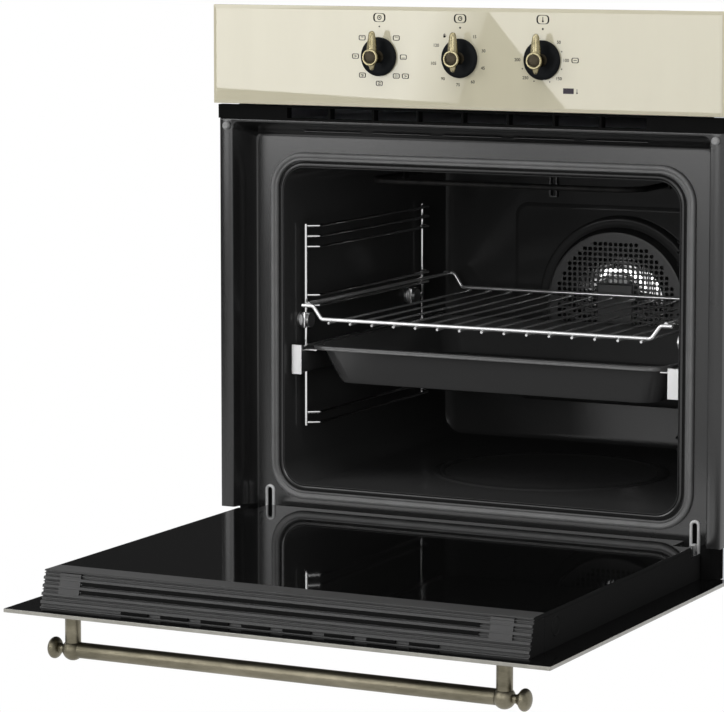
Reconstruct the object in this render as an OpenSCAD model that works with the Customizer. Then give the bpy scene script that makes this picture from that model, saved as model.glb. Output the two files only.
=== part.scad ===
// Built-in electric oven with its door open, in millimetres.
// X runs to the right, Y into the oven and Z up. The origin lies on the niche
// floor, under the middle of the control panel's front face.

/* [Front] */
// Width of the control panel and of the door glass
front_w = 595; // [592:0.5:597]
// Height of the control panel's top edge over the niche floor
front_h = 599; // [598:0.5:602]
// Height of the control panel
panel_h = 107.4; // [107:0.2:109]
// Thickness of the control panel's glass
panel_t = 5; // [4:0.5:6]
// Height of the slotted vent strip under the panel
vent_h = 15; // [14.6:0.2:15.4]
// Number of slots in the vent strip
vent_count = 8; // [6:1:10]

/* [Frame] */
// Width of each side flange
flange_w = 16; // [15:0.5:17]
// Depth of the flanges' face behind the panel's face
flange_y = 8.2; // [7.6:0.2:8.6]
// Depth of the door seat behind the panel's face
seat_y = 45; // [45:0.5:46]
// Thickness of the enamelled sheet
enamel_t = 1.2; // [1:0.1:1.4]
// Number of louvres over the door seat
louvre_count = 5; // [3:1:6]

/* [Body] */
// Distance from the panel's edge to the body's side
body_side = 19.5; // [19:0.5:20.5]
// Distance from the panel's top edge down to the body's top
body_drop = 27; // [23:1:31]
// Depth of the body behind the panel's face
body_d = 545; // [540:1:560]
// Thickness of the casing's sheet
casing_t = 1; // [0.8:0.1:1.2]

/* [Cavity] */
// Distance from the panel's edge to the cavity's side wall
cavity_side = 64.5; // [64:0.25:65]
// Distance from the vent strip's lower edge down to the cavity's ceiling
cavity_drop = 54.4; // [52.6:0.4:55.6]
// Height of the cavity's floor over the niche floor
cavity_z = 69.4; // [69:0.2:70]
// Depth of the space behind the cavity for the fan's motor
rear_room = 90; // [84:1:92]
// Inner corner radius of the cavity
cavity_r = 25; // [20:1:26]
// Width of the door gasket
gasket_w = 9; // [8:0.5:9.5]

/* [Fan] */
// Diameter of the fan cover's flat face
cover_d = 173; // [160:1:180]
// Depth of the fan cover in front of the rear wall
cover_h = 25; // [24:0.5:27]
// Height of the fan's axle over the niche floor
fan_z = 240; // [236:1:244]
// Spacing of the holes in the fan cover
hole_pitch = 5.9; // [5.5:0.1:8]
// Diameter of the holes in the fan cover
hole_d = 3.2; // [2.8:0.1:3.6]
// Number of blades on the convection fan
blade_count = 12; // [8:1:16]

/* [Racks] */
// Diameter of the rack's wire
rack_wire = 5; // [4.5:0.1:5.2]
// Diameter of the rungs
rung_wire = 4; // [3.6:0.1:4.2]
// Height of the lowest rung over the niche floor
rung_z = 132.5; // [131.5:0.5:134]
// Spacing of the shelf levels
rung_pitch = 65.7; // [65.2:0.1:66]
// Height of a level's guard rung over its bearing rung
rung_gap = 11.6; // [11.4:0.1:12.4]

/* [Shelf and tray] */
// Diameter of the shelf's frame wire
shelf_wire = 5; // [4.5:0.1:5.2]
// Number of rods across the shelf
shelf_rods = 15; // [11:1:19]
// Distance from the shelf's rear wire to the cavity's rear wall
shelf_room = 31; // [28:1:41]
// Depth of the baking tray from its rim to its floor
tray_h = 44; // [40:1:46]
// Thickness of the tray's sheet
tray_t = 1.2; // [1:0.1:1.5]

/* [Door] */
// Distance that the open door stands out from the panel's face
door_out = 434; // [430:1:438]
// Height of the hinge axis over the niche floor
axis_z = 22.5; // [22.4:0.1:22.8]
// Depth of the hinge axis behind the panel's face
axis_y = 17; // [16.8:0.1:17]
// Thickness of each door glass
glass_t = 4; // [3.6:0.2:4]
// Distance from the door glass's edge to its inner box
box_side = 30.5; // [30.5:0.25:31.5]
// Thickness of the closed door without its handle
door_t = 41.3; // [41:0.1:41.4]

/* [Handle] */
// Distance from the door glass's edge to the axis of a handle post
post_side = 61; // [57:1:68]
// Diameter of the handle's bar
bar_d = 16; // [14:0.5:17]
// Diameter of the balls over the posts
ball_d = 21; // [19:0.5:24]
// Distance from the door glass to the bar's axis
bar_out = 38; // [34:0.5:44]

/* [Knobs] */
// Distance between neighbouring knobs
knob_gap = 95; // [90:1:105]
// Diameter of the knobs' black discs
knob_d = 41.5; // [38:0.5:44]
// Distance that a knob stands out from the panel
knob_out = 24; // [22:0.5:27]
// Length of a knob's lever from its axle to its tip
lever_l = 28; // [26:0.5:30]

/* [Hidden] */
$fn = 48;

// clearances
gap = 0.3;
fit = 0.1;
far = 1000;

// front
panel_z = front_h - panel_h;
vent_top = panel_z - 1.6;
vent_z = vent_top - vent_h;
vent_face = flange_y - 2.6;
vent_back = 16;
vent_end = 86.7;
vent_pitch = (front_w - 2 * vent_end) / vent_count;
vent_web = 2.6;
niche_face = 21;
panel_bevel = 4;

// frame
frame_w = front_w - 6;
recess_w = frame_w - 2 * flange_w;
recess_top = vent_z - 4;
seat_in = 10.5;
seat_drop = 15;
seat_w = recess_w - 2 * seat_in;
seat_top = recess_top - seat_drop;
flange_z = 44;
seat_back = seat_y + enamel_t;
base_z = casing_t;
top_back = vent_back + 1;
louvre_end = 89;
louvre_pitch = (front_w - 2 * louvre_end) / louvre_count;
louvre_web = 15.4;

// body
body_w = front_w - 2 * body_side;
body_h = front_h - body_drop;

// cavity
cavity_w = front_w - 2 * cavity_side;
cavity_h = vent_z - cavity_drop - cavity_z;
cavity_d = body_d - rear_room - seat_y;
lip_y = seat_y - 3;
cavity_back = seat_y + cavity_d;
cavity_mid = cavity_z + cavity_h / 2;
shell_w = cavity_w + 2 * enamel_t;
shell_h = cavity_h + 2 * enamel_t;
shell_r = cavity_r + enamel_t;
shell_back = cavity_back + enamel_t;
wall_x = cavity_w / 2;
gasket_out = 17;
gasket_face = seat_y - 4.4;

side_x = body_w / 2;
casing_front = niche_face + 1;
guide_z = vent_z - casing_t;
wool_side = 30;
wool_back = shell_back + 32;

// door, open
box_w = front_w - 2 * box_side;
glass_low = axis_z - axis_y - 0.8;
glass_up = glass_low + glass_t;
box_top = glass_low + door_t;
pane_low = box_top - glass_t;
door_rear = axis_y + 13;
box_rear = door_rear - 0.8;
rail_front = 30 - door_out;
rail_back = rail_front + 26;
pane_front = rail_front + 5;
hinge_x = front_w / 2 - 45;
arm_t = 4;
notch_w = 12;
notch_front = axis_y - 20;

// handle
post_gap = front_w - 2 * post_side;
post_y = 33 - door_out;
post_d = 14;
bar_z = glass_low - bar_out;

// knobs
knob_z = panel_z + 54.2;
disc_t = 3.5;
disc_gap = 0.4;
spindle_d = 6;
hub_d = 18;
carrier_y = panel_t;
switch_y = carrier_y + enamel_t;

// racks, shelf, tray and runners
rack_x = wall_x - 7;
rung_x = wall_x - 20;
rack_front = 80;
rack_rear = cavity_back - 83;
level = function(n) rung_z + n * rung_pitch;
rack_top = level(3) + 2 * rung_gap;
shelf_front = 59;
shelf_d = cavity_back - shelf_room - shelf_front;
shelf_level = 2;
side_wire = 4.5;
shelf_z = level(shelf_level) + (rung_wire + shelf_wire) / 2 + gap;
shelf_ear = shelf_z - 2;
shelf_low = shelf_ear - 14.3;
shelf_side = rung_x - 1;
rung_bend = 5;
shelf_x = rack_x - rack_wire / 2 - 1.8 - shelf_wire / 2;
rail_x = rack_x - rack_wire / 2;
rail_z = 192;
rail_top = 221;
rail_t = 1.2;
rail_depth = 5.2;
runner_front = 52;
ledge_z = 217.4;
tray_x = rung_x;
tray_top = ledge_z + 5;
tray_front = 55.7;
tray_rear = cavity_back - 53.3;
tray_bottom = tray_top - tray_h;

// a solid between two depths from an outline drawn as seen from the front
module along_y(y0, y1) {
    translate([0, y1, 0]) rotate([90, 0, 0]) linear_extrude(y1 - y0) children();
}

// a solid between two widths from an outline drawn in the YZ plane
module along_x(x0, x1) {
    translate([x0, 0, 0]) rotate([90, 0, 90]) linear_extrude(x1 - x0) children();
}

// a box between two corners
module box(a, b) {
    translate(a) cube(b - a);
}

// a rectangle with round corners about the origin
module rounded(w, h, r) {
    square([w - 2 * r, h], center = true);
    square([w, h - 2 * r], center = true);
    for (x = [-1, 1], y = [-1, 1]) translate([x * (w / 2 - r), y * (h / 2 - r)]) circle(r);
}

// a slot with round ends, its long side along X
module slot(l, w) {
    square([l - w, w], center = true);
    for (x = [-1, 1]) translate([x * (l - w) / 2, 0]) circle(d = w);
}

// a straight wire between two points
module rod(a, b, d) {
    v = b - a;
    l = norm(v);
    translate(a) rotate([0, acos(v.z / l), atan2(v.y, v.x)]) cylinder(h = l, d = d, $fn = 20);
}

function unit(v) = v / norm(v);
function turn(p, i) = acos(unit(p[i] - p[i - 1]) * unit(p[i + 1] - p[i]));
function cut_back(p, i, r) = i == 0 || i == len(p) - 1 ? 0 : r * tan(turn(p, i) / 2);

// a round wire through a list of points, bent to a radius, or pinched, at each corner
module wire(p, d, r = 0) {
    for (i = [0:len(p) - 2]) {
        u = unit(p[i + 1] - p[i]);
        rod(p[i] + u * cut_back(p, i, r), p[i + 1] - u * cut_back(p, i + 1, r), d);
    }
    if (r == 0) for (q = p) translate(q) sphere(d = d + 0.2, $fn = 24);
    else for (i = [1:len(p) - 2]) {
        a = unit(p[i] - p[i - 1]);
        n = unit(cross(a, p[i + 1] - p[i]));
        x = cross(a, n);
        c = p[i] - a * cut_back(p, i, r) - x * r;
        multmatrix([[x.x, a.x, n.x, c.x], [x.y, a.y, n.y, c.y], [x.z, a.z, n.z, c.z], [0, 0, 0, 1]])
            rotate_extrude(angle = turn(p, i)) translate([r, 0]) circle(d = d, $fn = 20);
    }
}

// a cylinder along Y between two depths
module rod_y(x, z, y0, y1, d) {
    translate([x, y1, z]) rotate([90, 0, 0]) cylinder(h = y1 - y0, d = d);
}

// the right-hand piece as drawn, or its mirror image
module handed(side) {
    if (side > 0) children();
    else mirror([1, 0, 0]) children();
}

// the tapered space of the door seat, open below
module seat_space(grow, y0, y1) {
    hull() {
        seat_slab(recess_w / 2 + grow, recess_top + grow, 8 + grow, y0);
        seat_slab(seat_w / 2 + grow, seat_top + grow, 6 + grow, y1 - 0.01);
    }
}

module seat_slab(half, top, r, y) {
    along_y(y, y + 0.01) {
        translate([-half, -20]) square([2 * half, top + 20 - r]);
        translate([-half + r, -20]) square([2 * half - 2 * r, top + 20]);
        for (x = [-1, 1]) translate([x * (half - r), top - r]) circle(r, $fn = 32);
    }
}

module front_frame() {
    color([0.17, 0.17, 0.17]) difference() {
        union() {
            box([-frame_w / 2, flange_y, flange_z], [frame_w / 2, flange_y + enamel_t, vent_z]);
            box([-frame_w / 2, flange_y, vent_z - enamel_t], [frame_w / 2, top_back, vent_z]);
            for (s = [-1, 1]) translate([s * (frame_w - enamel_t) / 2, 0, 0])
                box([-enamel_t / 2, flange_y, flange_z], [enamel_t / 2, niche_face, vent_z]);
            seat_space(enamel_t, flange_y, seat_back);
            for (s = [-1, 1]) hinge_slot(s, 11, seat_y - 1.5, seat_back);
        }
        difference() {
            seat_space(0, flange_y - 1, seat_y);
            for (s = [-1, 1]) hinge_slot(s, 11, seat_y - 1.5, seat_y + 1);
        }
        for (s = [-1, 1]) hinge_slot(s, 5, seat_y - 3, seat_back + 1);
        translate([0, 0, cavity_mid]) along_y(0, seat_back + 1)
            rounded(shell_w + 2 * fit, shell_h + 2 * fit, shell_r + fit);
        box([-far, -far, -far], [far, door_rear + 1.5, flange_z]);
        box([-far, -far, -far], [far, far, base_z]);
        for (i = [0:louvre_count - 1]) louvre(i);
    }
}

// one hinge slot, or the raised rim round it
module hinge_slot(side, w, y0, y1) {
    translate([side * hinge_x, 0, 45.5]) along_y(y0, y1) rotate(90) slot(36 + w, w);
}

module louvre(i) {
    x = (i - (louvre_count - 1) / 2) * louvre_pitch;
    translate([x, 33, seat_top]) linear_extrude(40) slot(louvre_pitch - louvre_web, 3);
}

module vent_strip() {
    inner = vent_pitch - vent_web;
    color([0.06, 0.06, 0.06]) difference() {
        box([-frame_w / 2, vent_face, vent_z], [frame_w / 2, vent_back, vent_top]);
        for (i = [0:vent_count - 1]) {
            x = (i - (vent_count - 1) / 2) * vent_pitch;
            box([x - inner / 2, vent_face - 1, vent_z + 1.8], [x + inner / 2, vent_back + 1, vent_top - 1.8]);
        }
    }
}

module control_panel() {
    b = panel_bevel;
    color([0.90, 0.88, 0.80]) difference() {
        translate([0, 0, panel_z + panel_h / 2]) union() {
            along_y(1, panel_t) square([front_w, panel_h], center = true);
            hull() {
                along_y(0, 0.01) square([front_w - 2 * b, panel_h - 2 * b], center = true);
                along_y(1, 1.01) square([front_w, panel_h], center = true);
            }
        }
        for (i = [-1:1]) rod_y(i * knob_gap, knob_z, -1, panel_t + 1, 12);
        pilot_hole(0);
    }
}

pilot_x = 124.4;
pilot_z = panel_z + 22.5;

module pilot_hole(shrink) {
    w = 12 - 2 * shrink;
    h = 6 - 2 * shrink;
    box([pilot_x - w / 2, -1, pilot_z - h / 2], [pilot_x + w / 2, panel_t + enamel_t + 1, pilot_z + h / 2]);
}

module pilot_lens() {
    color([0.25, 0.08, 0.04]) union() {
        intersection() {
            pilot_hole(gap);
            box([-far, 0.2, -far], [far, switch_y, far]);
        }
        box([pilot_x - 9, switch_y, pilot_z - 6], [pilot_x + 9, switch_y + 12, pilot_z + 6]);
    }
}

// folded steel tray behind the panel that carries the switches
module panel_carrier() {
    w = front_w - 6;
    low = panel_z + 3;
    high = front_h - 3;
    t = enamel_t;
    color([0.62, 0.63, 0.64]) difference() {
        union() {
            difference() {
                box([-w / 2, carrier_y, low], [w / 2, niche_face, high]);
                box([-w / 2 + t, switch_y, low + t], [w / 2 - t, far, high - t]);
            }
            for (s = [-1, 1]) translate([s * (side_x - casing_t / 2), 0, 0])
                box([-2, switch_y, low + t], [2, casing_front, body_h - casing_t]);
        }
        for (i = [-1:1]) rod_y(i * knob_gap, knob_z, 0, switch_y + 1, 12);
        pilot_hole(0);
    }
}

bumper_x = frame_w / 2 - 9.2;
bumper_z = vent_z - 8.4;

module door_bumpers() {
    color([0.42, 0.42, 0.42]) for (s = [-1, 1]) translate([s * bumper_x, flange_y, bumper_z])
        rotate([90, 0, 0]) union() {
            cylinder(h = 3, d = 8.5);
            translate([0, 0, 3]) cylinder(h = 1.5, d1 = 8.5, d2 = 6);
        }
}

module door_gasket() {
    w = cavity_w + 2 * gasket_out;
    h = cavity_h + 2 * gasket_out - 1;
    color([0.41, 0.41, 0.41]) translate([0, 0, cavity_mid]) union() {
        ring(w, h, 40, gasket_w, seat_y - 2.8, seat_y);
        ring(w, h, 40, 4, gasket_face, seat_y - 2.8);
        ring(w - 2 * gasket_w + 5, h - 2 * gasket_w + 5, 33.5, 2.5, seat_y - 3.8, seat_y - 2.8);
    }
}

// a flat ring with round corners
module ring(w, h, r, band, y0, y1) {
    along_y(y0, y1) difference() {
        rounded(w, h, r);
        rounded(w - 2 * band, h - 2 * band, r - band);
    }
}

module cavity() {
    color([0.10, 0.10, 0.11]) difference() {
        union() {
            translate([0, 0, cavity_mid]) difference() {
                along_y(lip_y, shell_back) rounded(shell_w, shell_h, shell_r);
                along_y(lip_y - 1, cavity_back) rounded(cavity_w, cavity_h, cavity_r);
            }
            floor_ring();
            along_y(cavity_back - 1.5, cavity_back) difference() {
                translate([0, fan_z - 10]) rounded(272, 216, 14);
                translate([0, fan_z]) circle(cover_d / 2 + 14, $fn = 96);
            }
        }
        rod_y(0, fan_z, cavity_back - 5, shell_back + 1, 30);
        for (s = [-1, 1]) {
            rod_y(s * ring_leg, ring_leg_z, cavity_back - 5, shell_back + 1, 8);
            rod_y(s * grill_leg, grill_z, cavity_back - 5, shell_back + 1, 8);
        }
        translate([wall_x - 1, lamp_y, lamp_z]) rotate([0, 90, 0]) cylinder(h = 5, d = 44);
    }
}

// round emboss pressed into the cavity's floor
module floor_ring() {
    translate([0, seat_y + cavity_d / 2 - 5, cavity_z - 0.2]) difference() {
        cylinder(h = 1.6, d1 = 268, d2 = 262, $fn = 96);
        translate([0, 0, -1]) cylinder(h = 4, d1 = 240, d2 = 246, $fn = 96);
    }
}

ring_r = 72;
ring_leg = 16;
ring_leg_z = fan_z - ring_r * cos(asin(ring_leg / ring_r));
grill_z = cavity_z + cavity_h - 16;
grill_leg = 60;
grill_x = wall_x - 73;
base_x = wall_x - 83;
lamp_y = 300;
lamp_z = cavity_z + cavity_h - 52;
tube_d = 6.5;

// perforated dish in front of the fan
module fan_cover() {
    r = cover_d / 2;
    face = cavity_back - cover_h;
    zone = r - 14;
    n = ceil(zone / hole_pitch);
    color([0.16, 0.16, 0.17]) translate([0, 0, fan_z]) union() {
        translate([0, cavity_back, 0]) rotate([90, 0, 0]) rotate_extrude($fn = 96) polygon([
            [r + 11, 0], [r + 11, 1], [r + 5.6, 1], [r, cover_h], [r - 2, cover_h],
            [r - 2, cover_h - 1], [r - 1, cover_h - 1], [r + 4.6, 0]
        ]);
        along_y(face, face + 1) difference() {
            circle(r - 2, $fn = 96);
            for (i = [-n:n], j = [-n:n]) {
                p = [i * hole_pitch, j * hole_pitch];
                if (norm(p) < zone) translate(p) circle(d = hole_d, $fn = 16);
            }
        }
    }
}

// a round heating tube bent into part of a ring about Y
module bent_y(r, from, sweep, d) {
    rotate([90, 0, 0]) rotate([0, 0, from]) rotate_extrude(angle = sweep, $fn = 96)
        translate([r, 0]) circle(d = d, $fn = 20);
}

module ring_element() {
    half = asin(ring_leg / ring_r);
    y = cavity_back - 12;
    color([0.30, 0.30, 0.30]) translate([0, 0, fan_z]) union() {
        translate([0, y, 0]) bent_y(ring_r, -90 + half, 360 - 2 * half, tube_d);
        for (s = [-1, 1]) {
            rod_y(s * ring_leg, ring_leg_z - fan_z, y - tube_d / 2 - 0.5, wool_back, tube_d + 1);
        }
        box([-24, cavity_back - 2, -ring_r - 6], [24, cavity_back, -ring_r + 8]);
    }
}

// motor on the cavity's rear wall, with the bore for its shaft
module fan_motor() {
    color([0.55, 0.55, 0.56]) translate([0, 0, fan_z]) difference() {
        union() {
            along_y(shell_back, shell_back + 2) rounded(110, 60, 6);
            rod_y(0, 0, shell_back + 2, shell_back + 22, 34);
            along_y(shell_back + 22, shell_back + 52) rounded(66, 62, 4);
            rod_y(0, 0, shell_back + 52, shell_back + 62, 30);
        }
        rod_y(0, 0, shell_back - 1, shell_back + 44, spindle_d + 2 * fit);
    }
}

module fan_impeller() {
    hub = cavity_back - 16;
    color([0.70, 0.71, 0.72]) translate([0, 0, fan_z]) union() {
        rod_y(0, 0, hub - 4, shell_back + 43, spindle_d);
        rod_y(0, 0, hub, hub + 12, 16);
        along_y(hub + 11, hub + 12) circle(56, $fn = 72);
        for (i = [0:blade_count - 1]) rotate([0, i * 360 / blade_count, 0])
            along_y(hub, hub + 11.5) translate([24, 0]) rotate(14) square([32, 1]);
    }
}

// two heating tubes under the cavity's ceiling
module grill_element() {
    y0 = seat_y + 55;
    y1 = cavity_back - 40;
    r = 30;
    color([0.28, 0.28, 0.28]) translate([0, 0, grill_z]) union() {
        heating_tube(grill_x, grill_leg, y0, y1, r);
        for (s = [-1, 1], y = [y0 + 90, y1 - 60]) hanger(s * grill_x, y);
    }
}

// heating tube bent into a loop, with two legs that leave at the back
module heating_tube(half, leg, y0, y1, r) {
    wire([
        [-leg, wool_back, 0], [-leg, y1, 0], [-half, y1, 0], [-half, y0, 0],
        [half, y0, 0], [half, y1, 0], [leg, y1, 0], [leg, wool_back, 0]
    ], tube_d, r);
}

// strap that holds a heating tube to the ceiling
module hanger(x, y) {
    box([x - 5, y - 6, -tube_d / 2 - 1], [x + 5, y + 6, tube_d / 2]);
    box([x - 4, y - 5, 0], [x + 4, y + 5, cavity_z + cavity_h - grill_z]);
}

// heating tube under the cavity's floor
module base_element() {
    z = cavity_z - enamel_t - 6;
    y0 = seat_y + 60;
    y1 = cavity_back - 60;
    color([0.28, 0.28, 0.28]) translate([0, 0, z]) union() {
        heating_tube(base_x, 30, y0, y1, 30);
        for (s = [-1, 1]) {
            box([s * base_x - 5, y0 + 100, -4], [s * base_x + 5, y0 + 112, 6]);
            box([s * base_x - 5, y1 - 100, -4], [s * base_x + 5, y1 - 88, 6]);
        }
    }
}

// lamp socket outside the right wall
module lamp_holder() {
    color([0.85, 0.84, 0.80]) translate([wall_x + enamel_t, lamp_y, lamp_z]) rotate([0, 90, 0])
        difference() {
            union() {
                cylinder(h = 2, d = 60);
                cylinder(h = 26, d = 42);
            }
            translate([0, 0, -1]) cylinder(h = 20, d = 38);
        }
}

// glass cap over the lamp, with its threaded neck in the wall
module lamp_lens() {
    color([0.85, 0.88, 0.88]) translate([wall_x, lamp_y, lamp_z]) rotate([0, -90, 0]) difference() {
        union() {
            cylinder(h = 2, d = 50);
            translate([0, 0, 2]) cylinder(h = 5, d1 = 50, d2 = 38);
            translate([0, 0, -enamel_t - 8]) cylinder(h = 9 + enamel_t, d = 37);
        }
        translate([0, 0, -20]) cylinder(h = 24, d = 33);
    }
}

module insulation() {
    low = cavity_z - enamel_t;
    color([0.93, 0.90, 0.78]) difference() {
        translate([0, 0, cavity_mid]) along_y(seat_back + 2, wool_back)
            rounded(shell_w + 2 * wool_side, shell_h + 2 * wool_side, 8);
        translate([0, 0, cavity_mid]) along_y(0, shell_back) rounded(shell_w, shell_h, shell_r);
        box([-base_x - 40, 0, low - 13], [base_x + 40, shell_back, cavity_z + 10]);
        for (s = [-1, 1]) rod_y(s * 30, low - 4.8, 0, far, 12);
        box([-side_x, 0, 0], [side_x, 105, 92]);
        along_y(0, far) translate([0, fan_z]) rounded(120, 90, 10);
        for (s = [-1, 1]) {
            rod_y(s * ring_leg, ring_leg_z, 0, far, 12);
            rod_y(s * grill_leg, grill_z, 0, far, 12);
        }
        translate([0, lamp_y, lamp_z]) rotate([0, 90, 0]) cylinder(h = far, d = 64);
    }
}

// one folded side sheet
module side_cover(side) {
    t = casing_t;
    color([0.68, 0.69, 0.70]) handed(side) difference() {
        union() {
            box([side_x - t, casing_front, base_z], [side_x, body_d - t, body_h - t]);
            box([side_x - 13, seat_back, base_z], [side_x, seat_back + t, seat_top]);
            box([side_x - 12, casing_front, base_z], [side_x, body_d - t, base_z + t]);
        }
        box([0, 0, 0], [side_x + 1, seat_back, flange_z]);
        box([0, 0, 0], [side_x - 2, seat_back, far]);
    }
}

module top_cover() {
    t = casing_t;
    color([0.68, 0.69, 0.70]) difference() {
        box([-side_x, casing_front, body_h - t], [side_x, body_d - t, body_h]);
        for (i = [-9:9]) translate([i * 16, blower_y + 30, body_h - 2]) rotate(90) linear_extrude(4) slot(60, 5);
    }
}

module back_cover() {
    t = casing_t;
    color([0.66, 0.67, 0.68]) difference() {
        box([-side_x, body_d - t, 0], [side_x, body_d, body_h]);
        for (i = [-8:8]) translate([i * 14, 0, 150]) along_y(body_d - 3, body_d + 1) rotate(90) slot(70, 5);
        rod_y(inlet_x, inlet_z, body_d - 3, body_d + 1, 22);
    }
}

inlet_x = 63 - side_x;
inlet_z = body_h - 42;

// terminal block with its cable gland on the back
module terminal_block() {
    color([0.12, 0.12, 0.12]) difference() {
        union() {
            box([inlet_x - 34, body_d - casing_t - 34, inlet_z - 24], [inlet_x + 34, body_d - casing_t, inlet_z + 24]);
            rod_y(inlet_x, inlet_z, body_d - 4, body_d + 12, 21.4);
            rod_y(inlet_x, inlet_z, body_d, body_d + 4, 28);
        }
        rod_y(inlet_x, inlet_z, body_d - 24, body_d + 13, 11);
    }
}

module base_plate() {
    t = casing_t;
    color([0.68, 0.69, 0.70]) union() {
        box([-side_x, seat_y, 0], [side_x, body_d - t, t]);
        for (y = [115, body_d - 95]) for (s = [-1, 1]) box([s * base_x - 40, y, t], [s * base_x + 40, y + 30, cavity_mid - shell_h / 2 - wool_side]);
    }
}

// full-width plate that leads the cooling air to the vent strip
module air_guide() {
    t = casing_t;
    x = side_x - t;
    inner = vent_pitch * vent_count / 2;
    color([0.70, 0.71, 0.72]) union() {
        box([-x, top_back, guide_z], [x, body_d - t, vent_z]);
        translate([0, 0, vent_top - t]) linear_extrude(t) duct_plan(inner);
        translate([0, 0, vent_z]) linear_extrude(vent_h) difference() {
            duct_plan(inner);
            duct_plan(inner - t);
        }
    }
}

// outline of the duct between the blower and the vent strip
module duct_plan(half) {
    y = blower_y - blower_r;
    end = blower_r + 8.8;
    polygon([[-half, vent_back], [half, vent_back], [half, 120], [end, y], [-end, y], [-half, 120]]);
}

blower_y = body_d - 145;
blower_r = 82;

// round housing of the cooling blower, open above and to the duct
module blower_housing() {
    top = vent_z + 62;
    color([0.60, 0.61, 0.62]) difference() {
        union() {
            translate([0, blower_y, vent_z]) cylinder(h = 62, r = blower_r, $fn = 96);
            box([-blower_r, blower_y - blower_r + 1, vent_z], [blower_r, blower_y, vent_top]);
        }
        translate([0, blower_y, vent_z + 1]) cylinder(h = 60, r = blower_r - 1, $fn = 96);
        translate([0, blower_y, top - 2]) cylinder(h = 4, r = 48, $fn = 72);
        box([1 - blower_r, blower_y - blower_r, vent_z + 1], [blower_r - 1, blower_y, vent_top - 1]);
        translate([0, blower_y, vent_z - 1]) cylinder(h = 3, d = spindle_d + 2 * fit);
    }
}

module blower_wheel() {
    color([0.80, 0.81, 0.82]) translate([0, blower_y, vent_z]) union() {
        cylinder(h = 30, d = spindle_d);
        translate([0, 0, 2.2]) cylinder(h = 12, d = 50);
        translate([0, 0, 2.2]) cylinder(h = 1.2, d = 132, $fn = 96);
        translate([0, 0, 3]) linear_extrude(50) for (i = [0:23]) rotate(i * 15) translate([52, 0]) rotate(35) square([16, 1.2]);
    }
}

// body of a rotary switch behind the panel, with its bush
module switch_body(i, size, depth) {
    color([0.88, 0.87, 0.83]) translate([i * knob_gap, 0, knob_z]) difference() {
        union() {
            along_y(switch_y, switch_y + depth) rounded(size, size, 3);
            rod_y(0, 0, 1, switch_y, 10);
            along_y(switch_y + depth, switch_y + depth + 6) for (z = [-1, 1]) translate([0, z * size / 4]) square([size - 8, 2], center = true);
        }
        rod_y(0, 0, 0, switch_y + 15, spindle_d + 2 * fit);
    }
}

module spindle(i) {
    color([0.75, 0.76, 0.77]) translate([i * knob_gap, 0, knob_z]) difference() {
        rod_y(0, 0, -knob_out + 8, switch_y + 14, spindle_d);
        box([-5, -knob_out, spindle_d / 2 - 1.2], [5, -disc_t - disc_gap, spindle_d]);
    }
}

// bore of a knob, flat on one side
module spindle_bore() {
    difference() {
        rod_y(0, 0, -knob_out + 8, far, spindle_d + 2 * fit);
        box([-5, -far, spindle_d / 2 - 1.2 + fit], [5, far, far]);
    }
}

module disc(i) {
    color([0.07, 0.07, 0.07]) translate([i * knob_gap, -disc_gap, knob_z]) difference() {
        rotate([90, 0, 0]) rotate_extrude($fn = 72) polygon([
            [0, 0], [knob_d / 2 - 1, 0], [knob_d / 2, 1], [knob_d / 2, 2.4],
            [knob_d / 2 - 1, disc_t - 0.2], [knob_d / 2 - 4, disc_t], [0, disc_t]
        ]);
        rod_y(0, 0, -disc_t - 1, 1, spindle_d + 2 * fit);
    }
}

// brass hub with its teardrop lever
module lever(i) {
    face = -knob_out;
    back = -disc_t - disc_gap;
    color([0.62, 0.57, 0.40]) translate([i * knob_gap, 0, knob_z]) difference() {
        union() {
            translate([0, back, 0]) rotate([90, 0, 0]) rotate_extrude($fn = 48) polygon([
                [0, 0], [9, 0], [9.5, 1], [6.5, 3.5], [5.6, 8], [6.4, 12], [hub_d / 2 - 1, 16],
                [hub_d / 2, 17.5], [hub_d / 2, back - face - 0.8], [hub_d / 2 - 1, back - face],
                [6.6, back - face], [6.2, back - face - 1], [0, back - face - 1]
            ]);
            along_y(face + 2.5, face + 8) polygon([
                [-4, 0], [4, 0], [3.6, 10], [2.9, 20], [3.2, lever_l - 4], [2.2, lever_l - 1],
                [0, lever_l], [-2.2, lever_l - 1], [-3.2, lever_l - 4], [-2.9, 20], [-3.6, 10]
            ]);
        }
        intersection() {
            spindle_bore();
            box([-far, -far, -far], [far, back + 1, far]);
        }
    }
}

// side rack with its rungs, drawn on the right
module rack(side) {
    x = rack_x;
    foot = level(0) - 3;
    color([0.80, 0.80, 0.80]) handed(side) union() {
        for (y = [rack_front, rack_rear + 5]) wire([[x, y, foot], [x, y, rack_top + 2]], rack_wire);
        for (n = [0, 2, 3], g = [0, 1]) rung(level(n) + g * rung_gap);
        rung(rack_top);
        for (y = rack_bolt_y) box([rail_x, y - 7, bolt_z - 11], [x + 4, y + 7, bolt_z + 11]);
        for (y = rack_bolt_y) rod([x, y, bolt_z], [x, y < 200 ? rack_front : rack_rear + 5, bolt_z], rung_wire);
    }
}

rack_bolt_y = [rack_front + 1, rack_rear - 21];
bolt_z = 248;

// one rung that steps in from the uprights
module rung(z) {
    wire([
        [rack_x, rack_front, z], [rung_x, rack_front, z],
        [rung_x, rack_rear + 5, z], [rack_x, rack_rear + 5, z]
    ], rung_wire, rung_bend);
}

// nuts and studs that hold the racks to the walls
module rack_bolts() {
    color([0.72, 0.72, 0.72]) for (s = [-1, 1], y = rack_bolt_y) handed(s) union() {
        translate([rail_x - 4, y, bolt_z]) rotate([0, 90, 0]) cylinder(h = 4, d = 17);
        translate([rack_x + 4, y, bolt_z]) rotate([0, 90, 0]) cylinder(h = wall_x - rack_x - 4, d = 17);
    }
}

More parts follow.
